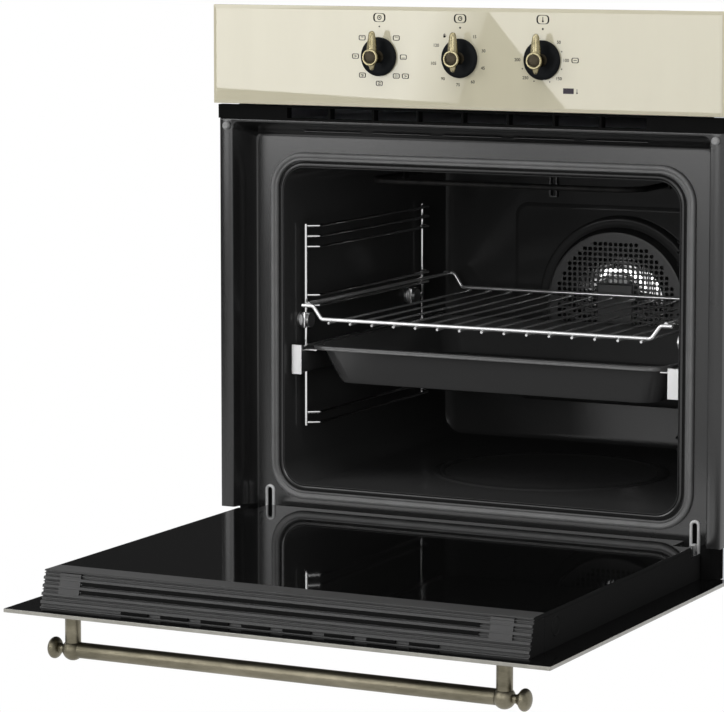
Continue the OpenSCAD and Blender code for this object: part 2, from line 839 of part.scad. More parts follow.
// fixed channel of a telescopic runner
module rail(side) {
    x0 = rail_x - rail_depth;
    x1 = rail_x;
    color([0.66, 0.66, 0.67]) handed(side) along_y(runner_front + 8, cavity_back - 35) difference() {
        translate([x0, rail_z]) square([x1 - x0, rail_top - rail_z]);
        translate([x0 - 1, rail_z + rail_t]) square([x1 - x0 + 1 - rail_t, rail_top - rail_z - 2 * rail_t]);
    }
}

// sliding member with its front plate and the ledge under the tray's rim
module runner(side) {
    x0 = rail_x - rail_depth;
    x1 = rail_x - rail_t;
    color([0.76, 0.76, 0.77]) handed(side) union() {
        box([x0 - 1.2, runner_front, rail_z + rail_t + gap], [x1 - gap, cavity_back - 43, ledge_z]);
        box([tray_x - 9, tray_front + 8, ledge_z - rail_t], [x0, cavity_back - 55, ledge_z]);
        box([x0 - 1.2, runner_front, rail_z - 1.5], [rack_x + 3, runner_front + 3, rail_top + 2]);
    }
}

module wire_shelf() {
    y1 = shelf_front + shelf_d;
    bend = 12;
    rise = 18;
    low_x = shelf_x - bend - rise;
    d = shelf_wire;
    color([0.80, 0.80, 0.80]) union() {
        shelf_end(shelf_front, shelf_ear, low_x, bend);
        shelf_end(y1, shelf_z, low_x, bend);
        for (s = [-1, 1]) wire([[s * shelf_side, shelf_front, shelf_z], [s * shelf_side, y1, shelf_z]], side_wire);
        for (i = [0:shelf_rods - 1]) {
            x = (i / (shelf_rods - 1) - 0.5) * 2 * (low_x - 4);
            z = shelf_low - (d + 3) / 2 + 0.4;
            rod([x, shelf_front - 3, z], [x, y1 + 3, z], 3);
        }
    }
}

// bent wire across one end of the shelf, with an ear at each side
module shelf_end(y, ear, low_x, bend) {
    wire([
        [-shelf_x, y, ear], [-shelf_x + bend, y, ear], [-low_x, y, shelf_low],
        [low_x, y, shelf_low], [shelf_x - bend, y, ear], [shelf_x, y, ear]
    ], shelf_wire);
}

// deep enamelled tray with sloped walls and a folded rim
module baking_tray() {
    t = tray_t;
    mid = (tray_front + tray_rear) / 2;
    l = tray_rear - tray_front;
    color([0.20, 0.20, 0.21]) translate([0, mid, 0]) difference() {
        union() {
            tray_form(2 * tray_x - 16, l - 18, tray_bottom, 2 * tray_x - 44, l - 46, tray_top);
            translate([0, 0, tray_top - 5]) linear_extrude(5) rounded(2 * tray_x, l, 24);
        }
        tray_form(2 * tray_x - 16 - 2 * t, l - 18 - 2 * t, tray_bottom + t, 2 * tray_x - 44 - 2 * t, l - 46 - 2 * t, tray_top + 0.1);
        translate([0, 0, tray_top - 6]) linear_extrude(5) difference() {
            rounded(2 * tray_x - 2 * t, l - 2 * t, 24 - t);
            rounded(2 * tray_x - 16, l - 18, 20);
        }
    }
}

// a block with round corners that widens from its foot to its top
module tray_form(w, l, z0, foot_w, foot_l, z1) {
    hull() {
        translate([0, 0, z0]) linear_extrude(0.01) rounded(foot_w, foot_l, 24);
        translate([0, 0, z1 - 0.01]) linear_extrude(0.01) rounded(w, l, 20);
    }
}

module door_glass_outer() {
    color([0.10, 0.10, 0.10]) difference() {
        box([-front_w / 2, -door_out, glass_low], [front_w / 2, door_rear, glass_up]);
        for (s = [-1, 1]) translate([s * post_gap / 2, post_y, glass_low - 1]) cylinder(h = glass_t + 2, d = 6);
    }
}

module door_glass_inner() {
    x = hinge_x;
    color([0.05, 0.05, 0.05]) difference() {
        box([-box_w / 2, pane_front, pane_low], [box_w / 2, box_rear, box_top]);
        for (s = [-1, 1]) handed(s) box([x - notch_w / 2, notch_front, pane_low - 1], [box_w, far, box_top + 1]);
    }
}

// side profile of the door, a channel that opens inwards
module door_side(side) {
    t = 2.5;
    x1 = box_w / 2;
    x0 = hinge_x - 9;
    color([0.12, 0.12, 0.12]) handed(side) difference() {
        union() {
            box([x1 - t, rail_back, glass_up], [x1, box_rear, pane_low]);
            box([x0, rail_back, glass_up], [x1, box_rear, glass_up + 1.5]);
            box([x1 - 12, rail_back, pane_low - 1.5], [x1, box_rear, pane_low]);
            translate([x1, rail_front + 60, 30]) rotate([0, -90, 0]) cylinder(h = 5, d = 9);
        }
        box([hinge_x - notch_w / 2, notch_front, pane_low - 8], [box_w, far, far]);
    }
}

rail_slope = 11;

// ribbed and slotted profile at the door's free end
module door_vent_rail() {
    x = box_w / 2;
    n = 6;
    pitch = (box_top - glass_up - 4) / n;
    color([0.22, 0.22, 0.22]) difference() {
        along_x(-x, x) polygon(concat(
            [[rail_back, glass_up], [rail_back, glass_up + 2], [rail_front + 4, glass_up + 2.2], [rail_front + 9, pane_low - 3],
             [rail_back, pane_low - 2], [rail_back, pane_low], [pane_front, pane_low], [pane_front, box_top], [rail_front, box_top]],
            [for (i = [0:n - 1]) each [
                [rail_at(box_top - 2 - i * pitch), box_top - 2 - i * pitch],
                [rail_at(box_top - 2 - i * pitch) + 1.6, box_top - 2.6 - i * pitch],
                [rail_at(box_top - 3.6 - i * pitch) + 1.6, box_top - 3.4 - i * pitch],
                [rail_at(box_top - 4 - i * pitch), box_top - 4 - i * pitch]
            ]],
            [[rail_at(glass_up), glass_up]]
        ));
        for (s = [-1, 1]) translate([s * post_gap / 2, post_y, glass_up - 1]) cylinder(h = 5, d = 11);
        for (i = [0:7]) {
            u = (i - 3.5) * 44.6;
            box([u - 15.5, -far, glass_up + 3], [u + 15.5, rail_back - 2, glass_up + 7]);
        }
        for (k = [1:4], i = [0:6]) {
            u = (i - 3) * 44.6 + (k % 2 == 0 ? 10 : -10);
            z = box_top - 4.6 - k * pitch;
            box([u - 9, -far, z], [u + 9, rail_back - 2, z + 1.6]);
        }
    }
}

// front face of the rail at a height
function rail_at(z) = rail_front - rail_slope * (box_top - z) / (box_top - glass_up);

module door_foot_rail() {
    x = hinge_x - 9;
    color([0.60, 0.61, 0.62]) along_x(-x, x) difference() {
        translate([box_rear - 14, glass_up]) square([14, pane_low - glass_up]);
        translate([box_rear - 15, glass_up + 1.2]) square([13.8, pane_low - glass_up - 2.4]);
    }
}

// hinge channel in the door, with its pin
module hinge(side) {
    low = glass_up + 1.5;
    top = pane_low - 2.5;
    x0 = hinge_x - 5;
    x1 = hinge_x + 5;
    color([0.75, 0.76, 0.77]) handed(side) union() {
        box([x0, -150, low], [x1, door_rear - 4, low + 1.5]);
        difference() {
            union() {
                box([x0, -150, low], [x0 + 1.5, door_rear - 4, top]);
                box([x1 - 1.5, -150, low], [x1, door_rear - 4, top]);
            }
        }
        translate([x0, axis_y, axis_z]) rotate([0, 90, 0]) cylinder(h = 10, d = 6);
        translate([x0 + 1.5, -110, axis_z]) rotate([0, 90, 0]) cylinder(h = 7, d = 5);
        translate([hinge_x, -30, axis_z]) rotate([90, 0, 0]) cylinder(h = 80, d = 6);
    }
}

// fixed hinge arm that hooks into its receiver through the slot
module hinge_arm(side) {
    color([0.80, 0.81, 0.82]) handed(side) difference() {
        along_x(hinge_x - arm_t / 2, hinge_x + arm_t / 2) union() {
            translate([axis_y, axis_z]) circle(8);
            polygon([
                [axis_y, axis_z - 8], [axis_y + 17, axis_z + 2], [seat_y - 3, axis_z + 5], [seat_y + 21, axis_z + 6],
                [seat_y + 41, axis_z + 10], [seat_y + 41, axis_z + 20], [seat_y + 29, axis_z + 22],
                [seat_y + 29, axis_z + 30], [seat_y + 17, axis_z + 30], [seat_y + 11, axis_z + 18.5],
                [axis_y + 17, axis_z + 17.5], [axis_y - 2, axis_z + 7.7]
            ]);
        }
        translate([hinge_x - 5, axis_y, axis_z]) rotate([0, 90, 0]) cylinder(h = 10, d = 6 + 2 * fit);
    }
}

// brackets behind the door seat that the arms hook into
module hinge_receivers() {
    t = 1.5;
    color([0.70, 0.71, 0.72]) for (s = [-1, 1]) handed(s) union() {
        for (x = [hinge_x - arm_t / 2 - t, hinge_x + arm_t / 2])
            box([x, seat_back, 18], [x + t, 96, 74]);
        box([hinge_x - 14, seat_back, 70], [hinge_x + 7, seat_back + t, 74]);
        box([hinge_x - 14, seat_back, 18], [hinge_x + 7, seat_back + t, 22]);
        box([hinge_x - 3.5, 94.5, 18], [hinge_x + 3.5, 96, 74]);
    }
}

// round posts that carry the handle
module handle_posts() {
    color([0.33, 0.28, 0.22]) for (s = [-1, 1]) translate([s * post_gap / 2, post_y, 0]) union() {
        translate([0, 0, bar_z]) cylinder(h = glass_low - bar_z, d = post_d);
        translate([0, 0, glass_low - 2]) cylinder(h = 2, d = post_d + 2);
        translate([0, 0, glass_low]) cylinder(h = glass_t, d = 5);
        translate([0, 0, glass_up]) cylinder(h = 2, d = 9);
    }
}

// bar with a ball over each post and a turned end beyond it
module handle_bar() {
    half = post_gap / 2;
    end = half + 20.2;
    color([0.36, 0.31, 0.25]) translate([0, post_y, bar_z]) difference() {
        union() {
            rod([-half, 0, 0], [half, 0, 0], bar_d);
            for (s = [-1, 1]) handed(s) translate([half, 0, 0]) rotate([0, 90, 0]) rotate_extrude($fn = 48) polygon(concat(
                [[0, -ball_d / 2]],
                [for (a = [-80:10:60]) [ball_d / 2 * cos(a), ball_d / 2 * sin(a)]],
                [[5, 11.4], [5, 13], [8.5, 13.4], [10.6, 15.4], [11, 18], [11, 21.5], [9.6, 24.4], [6, 26.6], [0, 27.4]]
            ));
        }
        for (s = [-1, 1]) translate([s * half, 0, 0]) cylinder(h = bar_out, d = post_d + 0.02);
    }
}

front_frame();
vent_strip();
control_panel();
panel_carrier();
pilot_lens();
door_bumpers();
door_gasket();
cavity();
fan_cover();
ring_element();
fan_motor();
grill_element();
base_element();
lamp_holder();
lamp_lens();
insulation();
side_cover(-1);  // side_cover_left
side_cover(1);  // side_cover_right
top_cover();
back_cover();
base_plate();
air_guide();
blower_housing();
switch_body(-1, 40, 34);  // function_switch
switch_body(0, 46, 30);  // timer
switch_body(1, 42, 32);  // thermostat
terminal_block();
rack(-1);  // rack_left
rack(1);  // rack_right
rack_bolts();
rail(-1);  // rail_left
rail(1);  // rail_right
hinge_receivers();
hinge_arm(-1);  // hinge_arm_left
hinge_arm(1);  // hinge_arm_right
fan_impeller();
blower_wheel();
runner(-1);  // runner_left
runner(1);  // runner_right
wire_shelf();
baking_tray();
door_glass_outer();
door_glass_inner();
door_side(-1);  // door_side_left
door_side(1);  // door_side_right
door_vent_rail();
door_foot_rail();
hinge(-1);  // hinge_left
hinge(1);  // hinge_right
handle_posts();
handle_bar();
disc(-1);  // disc_left
disc(0);  // disc_middle
disc(1);  // disc_right
lever(-1);  // lever_left
lever(0);  // lever_middle
lever(1);  // lever_right
spindle(-1);  // spindle_left
spindle(0);  // spindle_middle
spindle(1);  // spindle_right
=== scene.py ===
"""Looks for a built-in oven with its door open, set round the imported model."""
from math import cos, pi, radians, sin, tan

import bmesh
import bpy
from mathutils import Matrix, Vector


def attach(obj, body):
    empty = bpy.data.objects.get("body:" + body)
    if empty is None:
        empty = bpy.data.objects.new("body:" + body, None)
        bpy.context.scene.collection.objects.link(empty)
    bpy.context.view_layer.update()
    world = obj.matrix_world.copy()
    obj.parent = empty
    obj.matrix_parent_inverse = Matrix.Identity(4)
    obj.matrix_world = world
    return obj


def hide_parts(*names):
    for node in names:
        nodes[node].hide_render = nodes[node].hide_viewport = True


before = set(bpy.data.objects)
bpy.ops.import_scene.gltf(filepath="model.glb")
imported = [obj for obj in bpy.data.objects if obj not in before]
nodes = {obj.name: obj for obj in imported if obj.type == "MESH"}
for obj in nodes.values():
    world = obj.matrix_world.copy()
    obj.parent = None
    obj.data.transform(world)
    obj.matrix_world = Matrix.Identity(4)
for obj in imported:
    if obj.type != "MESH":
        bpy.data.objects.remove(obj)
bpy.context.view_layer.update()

MM = 0.001
SIDES = (-1, 1)

# the picture's frame, in pixels and millimetres of film
PHOTO_WIDTH = 724
FOCAL_PIXELS = 3457.76
FILM_WIDTH = 36

# places on the oven, in millimetres
KNOB_Z = 545.8
KNOB_STEP = 95
PRINT_Y = -0.03
FAN_Z = 240
HINGE_X = 252.5
HANDLE_X, HANDLE_Y, HANDLE_Z = 236.5, -401, -33.3
RAIL_X = 267
RACK_X = 226
CASING_X = 278
BACK_Y = 546.2

# camera at the photographed angle, from the right and a little above
camera_data = bpy.data.cameras.new("camera")
camera = bpy.data.objects.new("camera", camera_data)
bpy.context.scene.collection.objects.link(camera)
bpy.context.scene.camera = camera
camera_data.sensor_width = FILM_WIDTH
camera_data.lens = FOCAL_PIXELS * FILM_WIDTH / PHOTO_WIDTH
camera_data.shift_y = -0.1
camera_data.clip_end = 50
camera.location = (1.55136, -3.30263, 0.70226)
camera.rotation_euler = (pi / 2 - 0.10792, 0, 0.46745)


# finishes

def finish_of(name, colour, rough, metal=0.0, coat=0.0, ior=1.5, mirror=0.5):
    """A plain finish: colour, gloss, an optional clear coat and how much it mirrors."""
    material = bpy.data.materials.new(name)
    material.use_nodes = True
    shader = material.node_tree.nodes["Principled BSDF"]
    shader.inputs["Base Color"].default_value = (*colour, 1)
    shader.inputs["Roughness"].default_value = rough
    shader.inputs["Metallic"].default_value = metal
    shader.inputs["Coat Weight"].default_value = coat
    shader.inputs["IOR"].default_value = ior
    shader.inputs["Specular IOR Level"].default_value = mirror
    return material


def pattern(material, kind, scale, stretch=(1, 1, 1), **values):
    """A cloudy or cellular pattern on object coordinates, stretched along an axis."""
    tree = material.node_tree
    place = tree.nodes.new("ShaderNodeTexCoord")
    mapping = tree.nodes.new("ShaderNodeMapping")
    mapping.inputs["Scale"].default_value = stretch
    texture = tree.nodes.new({"noise": "ShaderNodeTexNoise", "cells": "ShaderNodeTexVoronoi"}[kind])
    texture.inputs["Scale"].default_value = scale
    for key, value in values.items():
        texture.inputs[key].default_value = value
    tree.links.new(place.outputs["Object"], mapping.inputs["Vector"])
    tree.links.new(mapping.outputs["Vector"], texture.inputs["Vector"])
    return texture


def shade(material, texture, dark, light, low=0.3, high=0.7, output=0):
    """Colour that moves between two tones with a pattern."""
    tree = material.node_tree
    ramp = tree.nodes.new("ShaderNodeValToRGB")
    ramp.color_ramp.elements[0].position = low
    ramp.color_ramp.elements[1].position = high
    ramp.color_ramp.elements[0].color = (*dark, 1)
    ramp.color_ramp.elements[1].color = (*light, 1)
    tree.links.new(texture.outputs[output], ramp.inputs["Fac"])
    tree.links.new(ramp.outputs["Color"], tree.nodes["Principled BSDF"].inputs["Base Color"])


def gloss(material, texture, low, high, output=0):
    """Roughness that moves between two values with a pattern."""
    tree = material.node_tree
    spread = tree.nodes.new("ShaderNodeMapRange")
    spread.inputs["To Min"].default_value = low
    spread.inputs["To Max"].default_value = high
    tree.links.new(texture.outputs[output], spread.inputs["Value"])
    tree.links.new(spread.outputs["Result"], tree.nodes["Principled BSDF"].inputs["Roughness"])


def relief(material, texture, strength, depth):
    """Surface relief from a pattern."""
    tree = material.node_tree
    bump = tree.nodes.new("ShaderNodeBump")
    bump.inputs["Strength"].default_value = strength
    bump.inputs["Distance"].default_value = depth
    tree.links.new(texture.outputs[0], bump.inputs["Height"])
    tree.links.new(bump.outputs["Normal"], tree.nodes["Principled BSDF"].inputs["Normal"])


cream_glass = finish_of("cream_glass", (0.775, 0.725, 0.54), 0.015)
shade(cream_glass, pattern(cream_glass, "noise", 30, (1, 1, 0.15), Detail=4.0),
      (0.762, 0.712, 0.530), (0.788, 0.738, 0.553))

frame_enamel = finish_of("frame_enamel", (0.015, 0.015, 0.015), 0.22, mirror=0.6)
shade(frame_enamel, pattern(frame_enamel, "noise", 9), (0.013, 0.013, 0.013), (0.018, 0.018, 0.018))
relief(frame_enamel, pattern(frame_enamel, "noise", 400, Detail=2.0), 0.08, 0.0004)

cavity_enamel = finish_of("cavity_enamel", (0.028, 0.028, 0.028), 0.14, mirror=0.1)
shade(cavity_enamel, pattern(cavity_enamel, "cells", 900), (0.100, 0.100, 0.104), (0.050, 0.050, 0.050), 0.05, 0.16)
relief(cavity_enamel, pattern(cavity_enamel, "noise", 300, Detail=2.0), 0.10, 0.0005)

cover_enamel = finish_of("cover_enamel", (0.045, 0.045, 0.045), 0.4)
shade(cover_enamel, pattern(cover_enamel, "cells", 900), (0.080, 0.080, 0.082), (0.044, 0.044, 0.044), 0.05, 0.16)
relief(cover_enamel, pattern(cover_enamel, "noise", 300, Detail=2.0), 0.10, 0.0005)

tray_enamel = finish_of("tray_enamel", (0.020, 0.020, 0.020), 0.24)
shade(tray_enamel, pattern(tray_enamel, "cells", 800), (0.150, 0.150, 0.156), (0.078, 0.078, 0.078), 0.04, 0.14)
relief(tray_enamel, pattern(tray_enamel, "noise", 260, Detail=2.0), 0.12, 0.0005)

pad_silicone = finish_of("pad_silicone", (0.34, 0.34, 0.34), 0.5)
shade(pad_silicone, pattern(pad_silicone, "noise", 60), (0.31, 0.31, 0.31), (0.37, 0.37, 0.37))

grey_silicone = finish_of("grey_silicone", (0.125, 0.125, 0.125), 0.5)
shade(grey_silicone, pattern(grey_silicone, "noise", 40), (0.165, 0.165, 0.165), (0.195, 0.195, 0.195))
relief(grey_silicone, pattern(grey_silicone, "noise", 900, Detail=3.0), 0.10, 0.0003)

# the shelf's chrome, only partly metallic: its pale colour paints a sheen that brightens the rods beyond what they
# mirror
shelf_chrome_painted_sheen = finish_of("shelf_chrome_painted_sheen", (0.80, 0.80, 0.80), 0.16, metal=0.7)
gloss(shelf_chrome_painted_sheen, pattern(shelf_chrome_painted_sheen, "noise", 220, Detail=3.0), 0.10, 0.22)

chrome = finish_of("chrome", (0.80, 0.80, 0.80), 0.10, metal=1.0)
gloss(chrome, pattern(chrome, "noise", 220, Detail=3.0), 0.06, 0.16)

satin_steel = finish_of("satin_steel", (0.62, 0.62, 0.62), 0.32, metal=1.0)
gloss(satin_steel, pattern(satin_steel, "noise", 60, (1, 0.03, 1), Detail=5.0), 0.25, 0.42)

zinc_sheet = finish_of("zinc_sheet", (0.55, 0.56, 0.58), 0.38, metal=1.0)
spangle = pattern(zinc_sheet, "cells", 115, Randomness=1.0)
shade(zinc_sheet, spangle, (0.53, 0.54, 0.56), (0.60, 0.61, 0.63), 0.0, 1.0, "Color")
gloss(zinc_sheet, spangle, 0.36, 0.46, "Color")

tube_oxide = finish_of("tube_oxide", (0.014, 0.013, 0.013), 0.5, mirror=0.12)
shade(tube_oxide, pattern(tube_oxide, "noise", 90, Detail=5.0), (0.008, 0.008, 0.008), (0.022, 0.021, 0.020))

black_plastic = finish_of("black_plastic", (0.010, 0.010, 0.010), 0.45, mirror=0.0)
gloss(black_plastic, pattern(black_plastic, "noise", 30), 0.36, 0.48)
relief(black_plastic, pattern(black_plastic, "noise", 1500, Detail=2.0), 0.15, 0.0002)

door_steel = finish_of("door_steel", (0.026, 0.026, 0.026), 0.5, mirror=0.0)
gloss(door_steel, pattern(door_steel, "noise", 40), 0.44, 0.56)
relief(door_steel, pattern(door_steel, "noise", 700, Detail=2.0), 0.10, 0.0003)

rail_plastic = finish_of("rail_plastic", (0.060, 0.060, 0.060), 0.42, mirror=0.3)
gloss(rail_plastic, pattern(rail_plastic, "noise", 30), 0.36, 0.48)
relief(rail_plastic, pattern(rail_plastic, "noise", 1500, Detail=2.0), 0.15, 0.0002)

pale_plastic = finish_of("pale_plastic", (0.70, 0.68, 0.62), 0.45)
gloss(pale_plastic, pattern(pale_plastic, "noise", 60), 0.40, 0.5)
relief(pale_plastic, pattern(pale_plastic, "noise", 1200, Detail=2.0), 0.12, 0.0002)

lamp_ceramic = finish_of("lamp_ceramic", (0.74, 0.72, 0.66), 0.6)
gloss(lamp_ceramic, pattern(lamp_ceramic, "noise", 80), 0.5, 0.7)
relief(lamp_ceramic, pattern(lamp_ceramic, "noise", 500, Detail=3.0), 0.15, 0.0003)

mineral_wool = finish_of("mineral_wool", (0.62, 0.55, 0.32), 0.95)
fibres = pattern(mineral_wool, "noise", 260, (1, 0.2, 1), Detail=8.0)
shade(mineral_wool, fibres, (0.50, 0.43, 0.24), (0.72, 0.66, 0.44))
relief(mineral_wool, fibres, 0.7, 0.003)

door_glass = finish_of("door_glass", (0.006, 0.006, 0.006), 0.03, ior=1.52)
gloss(door_glass, pattern(door_glass, "noise", 12, Detail=3.0), 0.02, 0.045)

glass_edge = finish_of("glass_edge", (0.30, 0.29, 0.255), 0.30, coat=0.4)
shade(glass_edge, pattern(glass_edge, "noise", 60, Detail=4.0), (0.37, 0.355, 0.31), (0.50, 0.485, 0.43))

lamp_glass = finish_of("lamp_glass", (0.85, 0.88, 0.88), 0.08)
lamp_glass.node_tree.nodes["Principled BSDF"].inputs["Transmission Weight"].default_value = 0.9
relief(lamp_glass, pattern(lamp_glass, "noise", 120), 0.2, 0.0006)

pilot_window = finish_of("pilot_window", (0.075, 0.065, 0.08), 0.2, mirror=0.05)
gloss(pilot_window, pattern(pilot_window, "noise", 200), 0.08, 0.16)

aged_bronze = finish_of("aged_bronze", (0.20, 0.17, 0.11), 0.36, metal=1.0)
shade(aged_bronze, pattern(aged_bronze, "noise", 55, (0.25, 1, 1), Detail=7.0, Roughness=0.65),
      (0.115, 0.105, 0.074), (0.275, 0.25, 0.185), 0.32, 0.72)
gloss(aged_bronze, pattern(aged_bronze, "noise", 160, (0.1, 1, 1), Detail=4.0), 0.28, 0.50)

aged_brass = finish_of("aged_brass", (0.42, 0.36, 0.21), 0.26, metal=1.0)
shade(aged_brass, pattern(aged_brass, "noise", 70, Detail=5.0), (0.20, 0.17, 0.092), (0.40, 0.355, 0.225), 0.25, 0.75)
gloss(aged_brass, pattern(aged_brass, "noise", 300, Detail=3.0), 0.18, 0.36)

# near-black and nearly matt: painted shade inside the rail's open rows and air slots
painted_slot_shade = finish_of("painted_slot_shade", (0.010, 0.010, 0.010), 0.8, mirror=0.05)
gloss(painted_slot_shade, pattern(painted_slot_shade, "noise", 100), 0.75, 0.85)

button_bronze = finish_of("button_bronze", (0.035, 0.027, 0.014), 0.35, metal=0.7)
gloss(button_bronze, pattern(button_bronze, "noise", 300, Detail=3.0), 0.28, 0.45)

disc_black = finish_of("disc_black", (0.008, 0.009, 0.010), 0.32, mirror=0.05)
gloss(disc_black, pattern(disc_black, "noise", 90), 0.28, 0.36)

print_ink = finish_of("print_ink", (0.012, 0.012, 0.012), 0.5, mirror=0.0)
gloss(print_ink, pattern(print_ink, "noise", 400), 0.40, 0.5)

polished_steel = finish_of("polished_steel", (0.85, 0.85, 0.85), 0.06, metal=1.0)
gloss(polished_steel, pattern(polished_steel, "noise", 90, Detail=3.0), 0.04, 0.09)

# pale and hardly metallic: painted reflection standing in for the white that the shiny metal of the hinge slot rims
# and arm tips mirrors
pale_painted_sheen = finish_of("pale_painted_sheen", (0.78, 0.78, 0.78), 0.34, metal=0.1)
gloss(pale_painted_sheen, pattern(pale_painted_sheen, "noise", 240, Detail=3.0), 0.28, 0.42)

# near-black and matt: painted shade inside the louvre slots and the hinge slots
painted_hollow_shade = finish_of("painted_hollow_shade", (0.002, 0.002, 0.002), 0.9, mirror=0.05)
gloss(painted_hollow_shade, pattern(painted_hollow_shade, "noise", 100), 0.85, 0.95)

for material, names in {
    frame_enamel: "front_frame",
    door_steel: "door_side_left door_side_right",
    cream_glass: "control_panel",
    cavity_enamel: "cavity fan_cover",
    tray_enamel: "baking_tray",
    grey_silicone: "door_gasket",
    pad_silicone: "door_bumpers",
    chrome: "rack_left rack_right wire_shelf",
    satin_steel: "rack_bolts rail_left rail_right runner_left runner_right hinge_arm_left hinge_arm_right "
                 "hinge_left hinge_right spindle_left spindle_middle spindle_right fan_impeller blower_wheel",
    zinc_sheet: "panel_carrier fan_motor side_cover_left side_cover_right top_cover back_cover base_plate "
                "air_guide blower_housing hinge_receivers door_foot_rail",
    tube_oxide: "ring_element grill_element base_element",
    black_plastic: "vent_strip terminal_block",
    rail_plastic: "door_vent_rail",
    pale_plastic: "function_switch timer thermostat",
    lamp_ceramic: "lamp_holder",
    lamp_glass: "lamp_lens",
    mineral_wool: "insulation",
    door_glass: "door_glass_outer door_glass_inner",
    pilot_window: "pilot_lens",
    aged_bronze: "handle_posts handle_bar",
    disc_black: "disc_left disc_middle disc_right",
    aged_brass: "lever_left lever_middle lever_right",
}.items():
    for name in names.split():
        if not nodes[name].material_slots:
            nodes[name].data.materials.append(material)
        for slot in nodes[name].material_slots:
            slot.material = material


# shaping, in millimetres until a piece is finished

def piece(name, bm, materials, body, stands_for, smooth, wall=0.0, edge_faces=None):
    """Finishes a mesh: merged, faces outwards, smooth below an angle, on its body."""
    bmesh.ops.remove_doubles(bm, verts=bm.verts, dist=0.004)
    bmesh.ops.dissolve_degenerate(bm, dist=0.001, edges=bm.edges)
    bmesh.ops.recalc_face_normals(bm, faces=bm.faces)
    if wall:
        bmesh.ops.solidify(bm, geom=list(bm.faces), thickness=wall)
    bmesh.ops.scale(bm, vec=(MM, MM, MM), verts=bm.verts)
    for face in bm.faces:
        face.smooth = True
        if edge_faces and edge_faces(face):
            face.material_index = 1
    for edge in bm.edges:
        edge.smooth = edge.is_manifold and edge.calc_face_angle() < radians(smooth)
    mesh = bpy.data.meshes.new(name)
    bm.to_mesh(mesh)
    bm.free()
    for material in materials if isinstance(materials, tuple) else (materials,):
        mesh.materials.append(material)
    obj = bpy.data.objects.new(name, mesh)
    bpy.context.scene.collection.objects.link(obj)
    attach(obj, body)
    if stands_for:
        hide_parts(*stands_for.split())


def outline(bm, half_w, low, high, radius, depth, feet=False, middle=0.0, plan=False, segments=8):
    """Edges of a rectangle with round corners, seen from the front or, as a plan, from above."""
    def spot(x, z):
        return (middle + x, z, depth) if plan else (middle + x, depth, z)
    corners = [bm.verts.new(spot(s * half_w, z)) for s, z in ((-1, low), (1, low), (1, high), (-1, high))]
    foot = {corners[0], corners[1]}
    before = set(bm.faces)
    bm.faces.new(corners)
    if radius:
        bmesh.ops.bevel(bm, geom=corners[2:] if feet else corners, offset=radius, segments=segments,
                        profile=0.5, affect="VERTICES", material=-1)
    face = next(f for f in bm.faces if f not in before)
    edges = list(face.edges)
    bmesh.ops.delete(bm, geom=[face], context="FACES_ONLY")
    if feet:
        for edge in [e for e in edges if foot.issuperset(e.verts)]:
            edges.remove(edge)
            bm.edges.remove(edge)
    return edges


def facing(x, y, z):
    """Stands a flat shape upright at a place, to face the front."""
    return Matrix.Translation((x, y, z)) @ Matrix.Rotation(pi / 2, 4, "X")


def round_loop(bm, radius, centre, steps):
    """The points of an upright circle."""
    return bmesh.ops.create_circle(bm, segments=steps, radius=radius, matrix=facing(*centre))["verts"]


def edges_of(verts):
    """The edges that meet in some points."""
    return list({e for v in verts for e in v.link_edges})


def skin(bm, loops):
    """Joins each row of edges to the next."""
    for a, b in zip(loops, loops[1:]):
        bmesh.ops.bridge_loops(bm, edges=a + b)


def cap(bm, edges):
    """Closes a row of edges with one face and returns it."""
    return bmesh.ops.contextual_create(bm, geom=edges)["faces"][0]


def pull(bm, edges, move):
    """Extrudes a row of edges and returns the new row."""
    made = bmesh.ops.extrude_edge_only(bm, edges=edges)["geom"]
    fresh = [g for g in made if isinstance(g, bmesh.types.BMVert)]
    bmesh.ops.translate(bm, vec=move, verts=fresh)
    return [g for g in made if isinstance(g, bmesh.types.BMEdge) and set(fresh).issuperset(g.verts)]


def turn(bm, edges, centre, axis, angle, steps):
    """Spins a row of edges about an axis and returns the last row."""
    geom = edges + list({v for e in edges for v in e.verts})
    last = bmesh.ops.spin(bm, geom=geom, cent=centre, axis=axis, dvec=(0, 0, 0), angle=angle, steps=steps)["geom_last"]
    return [g for g in last if isinstance(g, bmesh.types.BMEdge)]


def wire(bm, points, diameter, bend=0.0, sides=14):
    """A round wire through some points, bent to a radius at each corner."""
    points = [Vector(p) for p in points]
    aim = (points[1] - points[0]).normalized()
    place = Matrix.Translation(points[0]) @ aim.to_track_quat("Z", "Y").to_matrix().to_4x4()
    ring = bmesh.ops.create_circle(bm, cap_ends=True, segments=sides, radius=diameter / 2, matrix=place)["verts"]
    edges = edges_of(ring)
    here = points[0]
    for i in range(1, len(points)):
        aim = (points[i] - points[i - 1]).normalized()
        cut = 0
        if i < len(points) - 1:
            after = (points[i + 1] - points[i]).normalized()
            cut = bend * tan(aim.angle(after) / 2)
        edges = pull(bm, edges, points[i] - aim * cut - here)
        here = points[i] - aim * cut
        if cut:
            axis = aim.cross(after).normalized()
            angle = aim.angle(after)
            edges = turn(bm, edges, here + axis.cross(aim) * bend, axis, angle, max(3, round(angle / radians(15))))
            here = points[i] + after * cut
    cap(bm, edges)


def lathe(bm, profile, centre, axis, steps):
    """Turns a profile of (place along the axis, radius) pairs."""
    centre, axis = Vector(centre), Vector(axis).normalized()
    side = axis.orthogonal().normalized()
    verts = [bm.verts.new(centre + axis * a + side * r) for a, r in profile]
    edges = [bm.edges.new(pair) for pair in zip(verts, verts[1:])]
    bmesh.ops.spin(bm, geom=verts + edges, cent=centre, axis=axis, dvec=(0, 0, 0), angle=2 * pi,
                   steps=steps, use_merge=True)


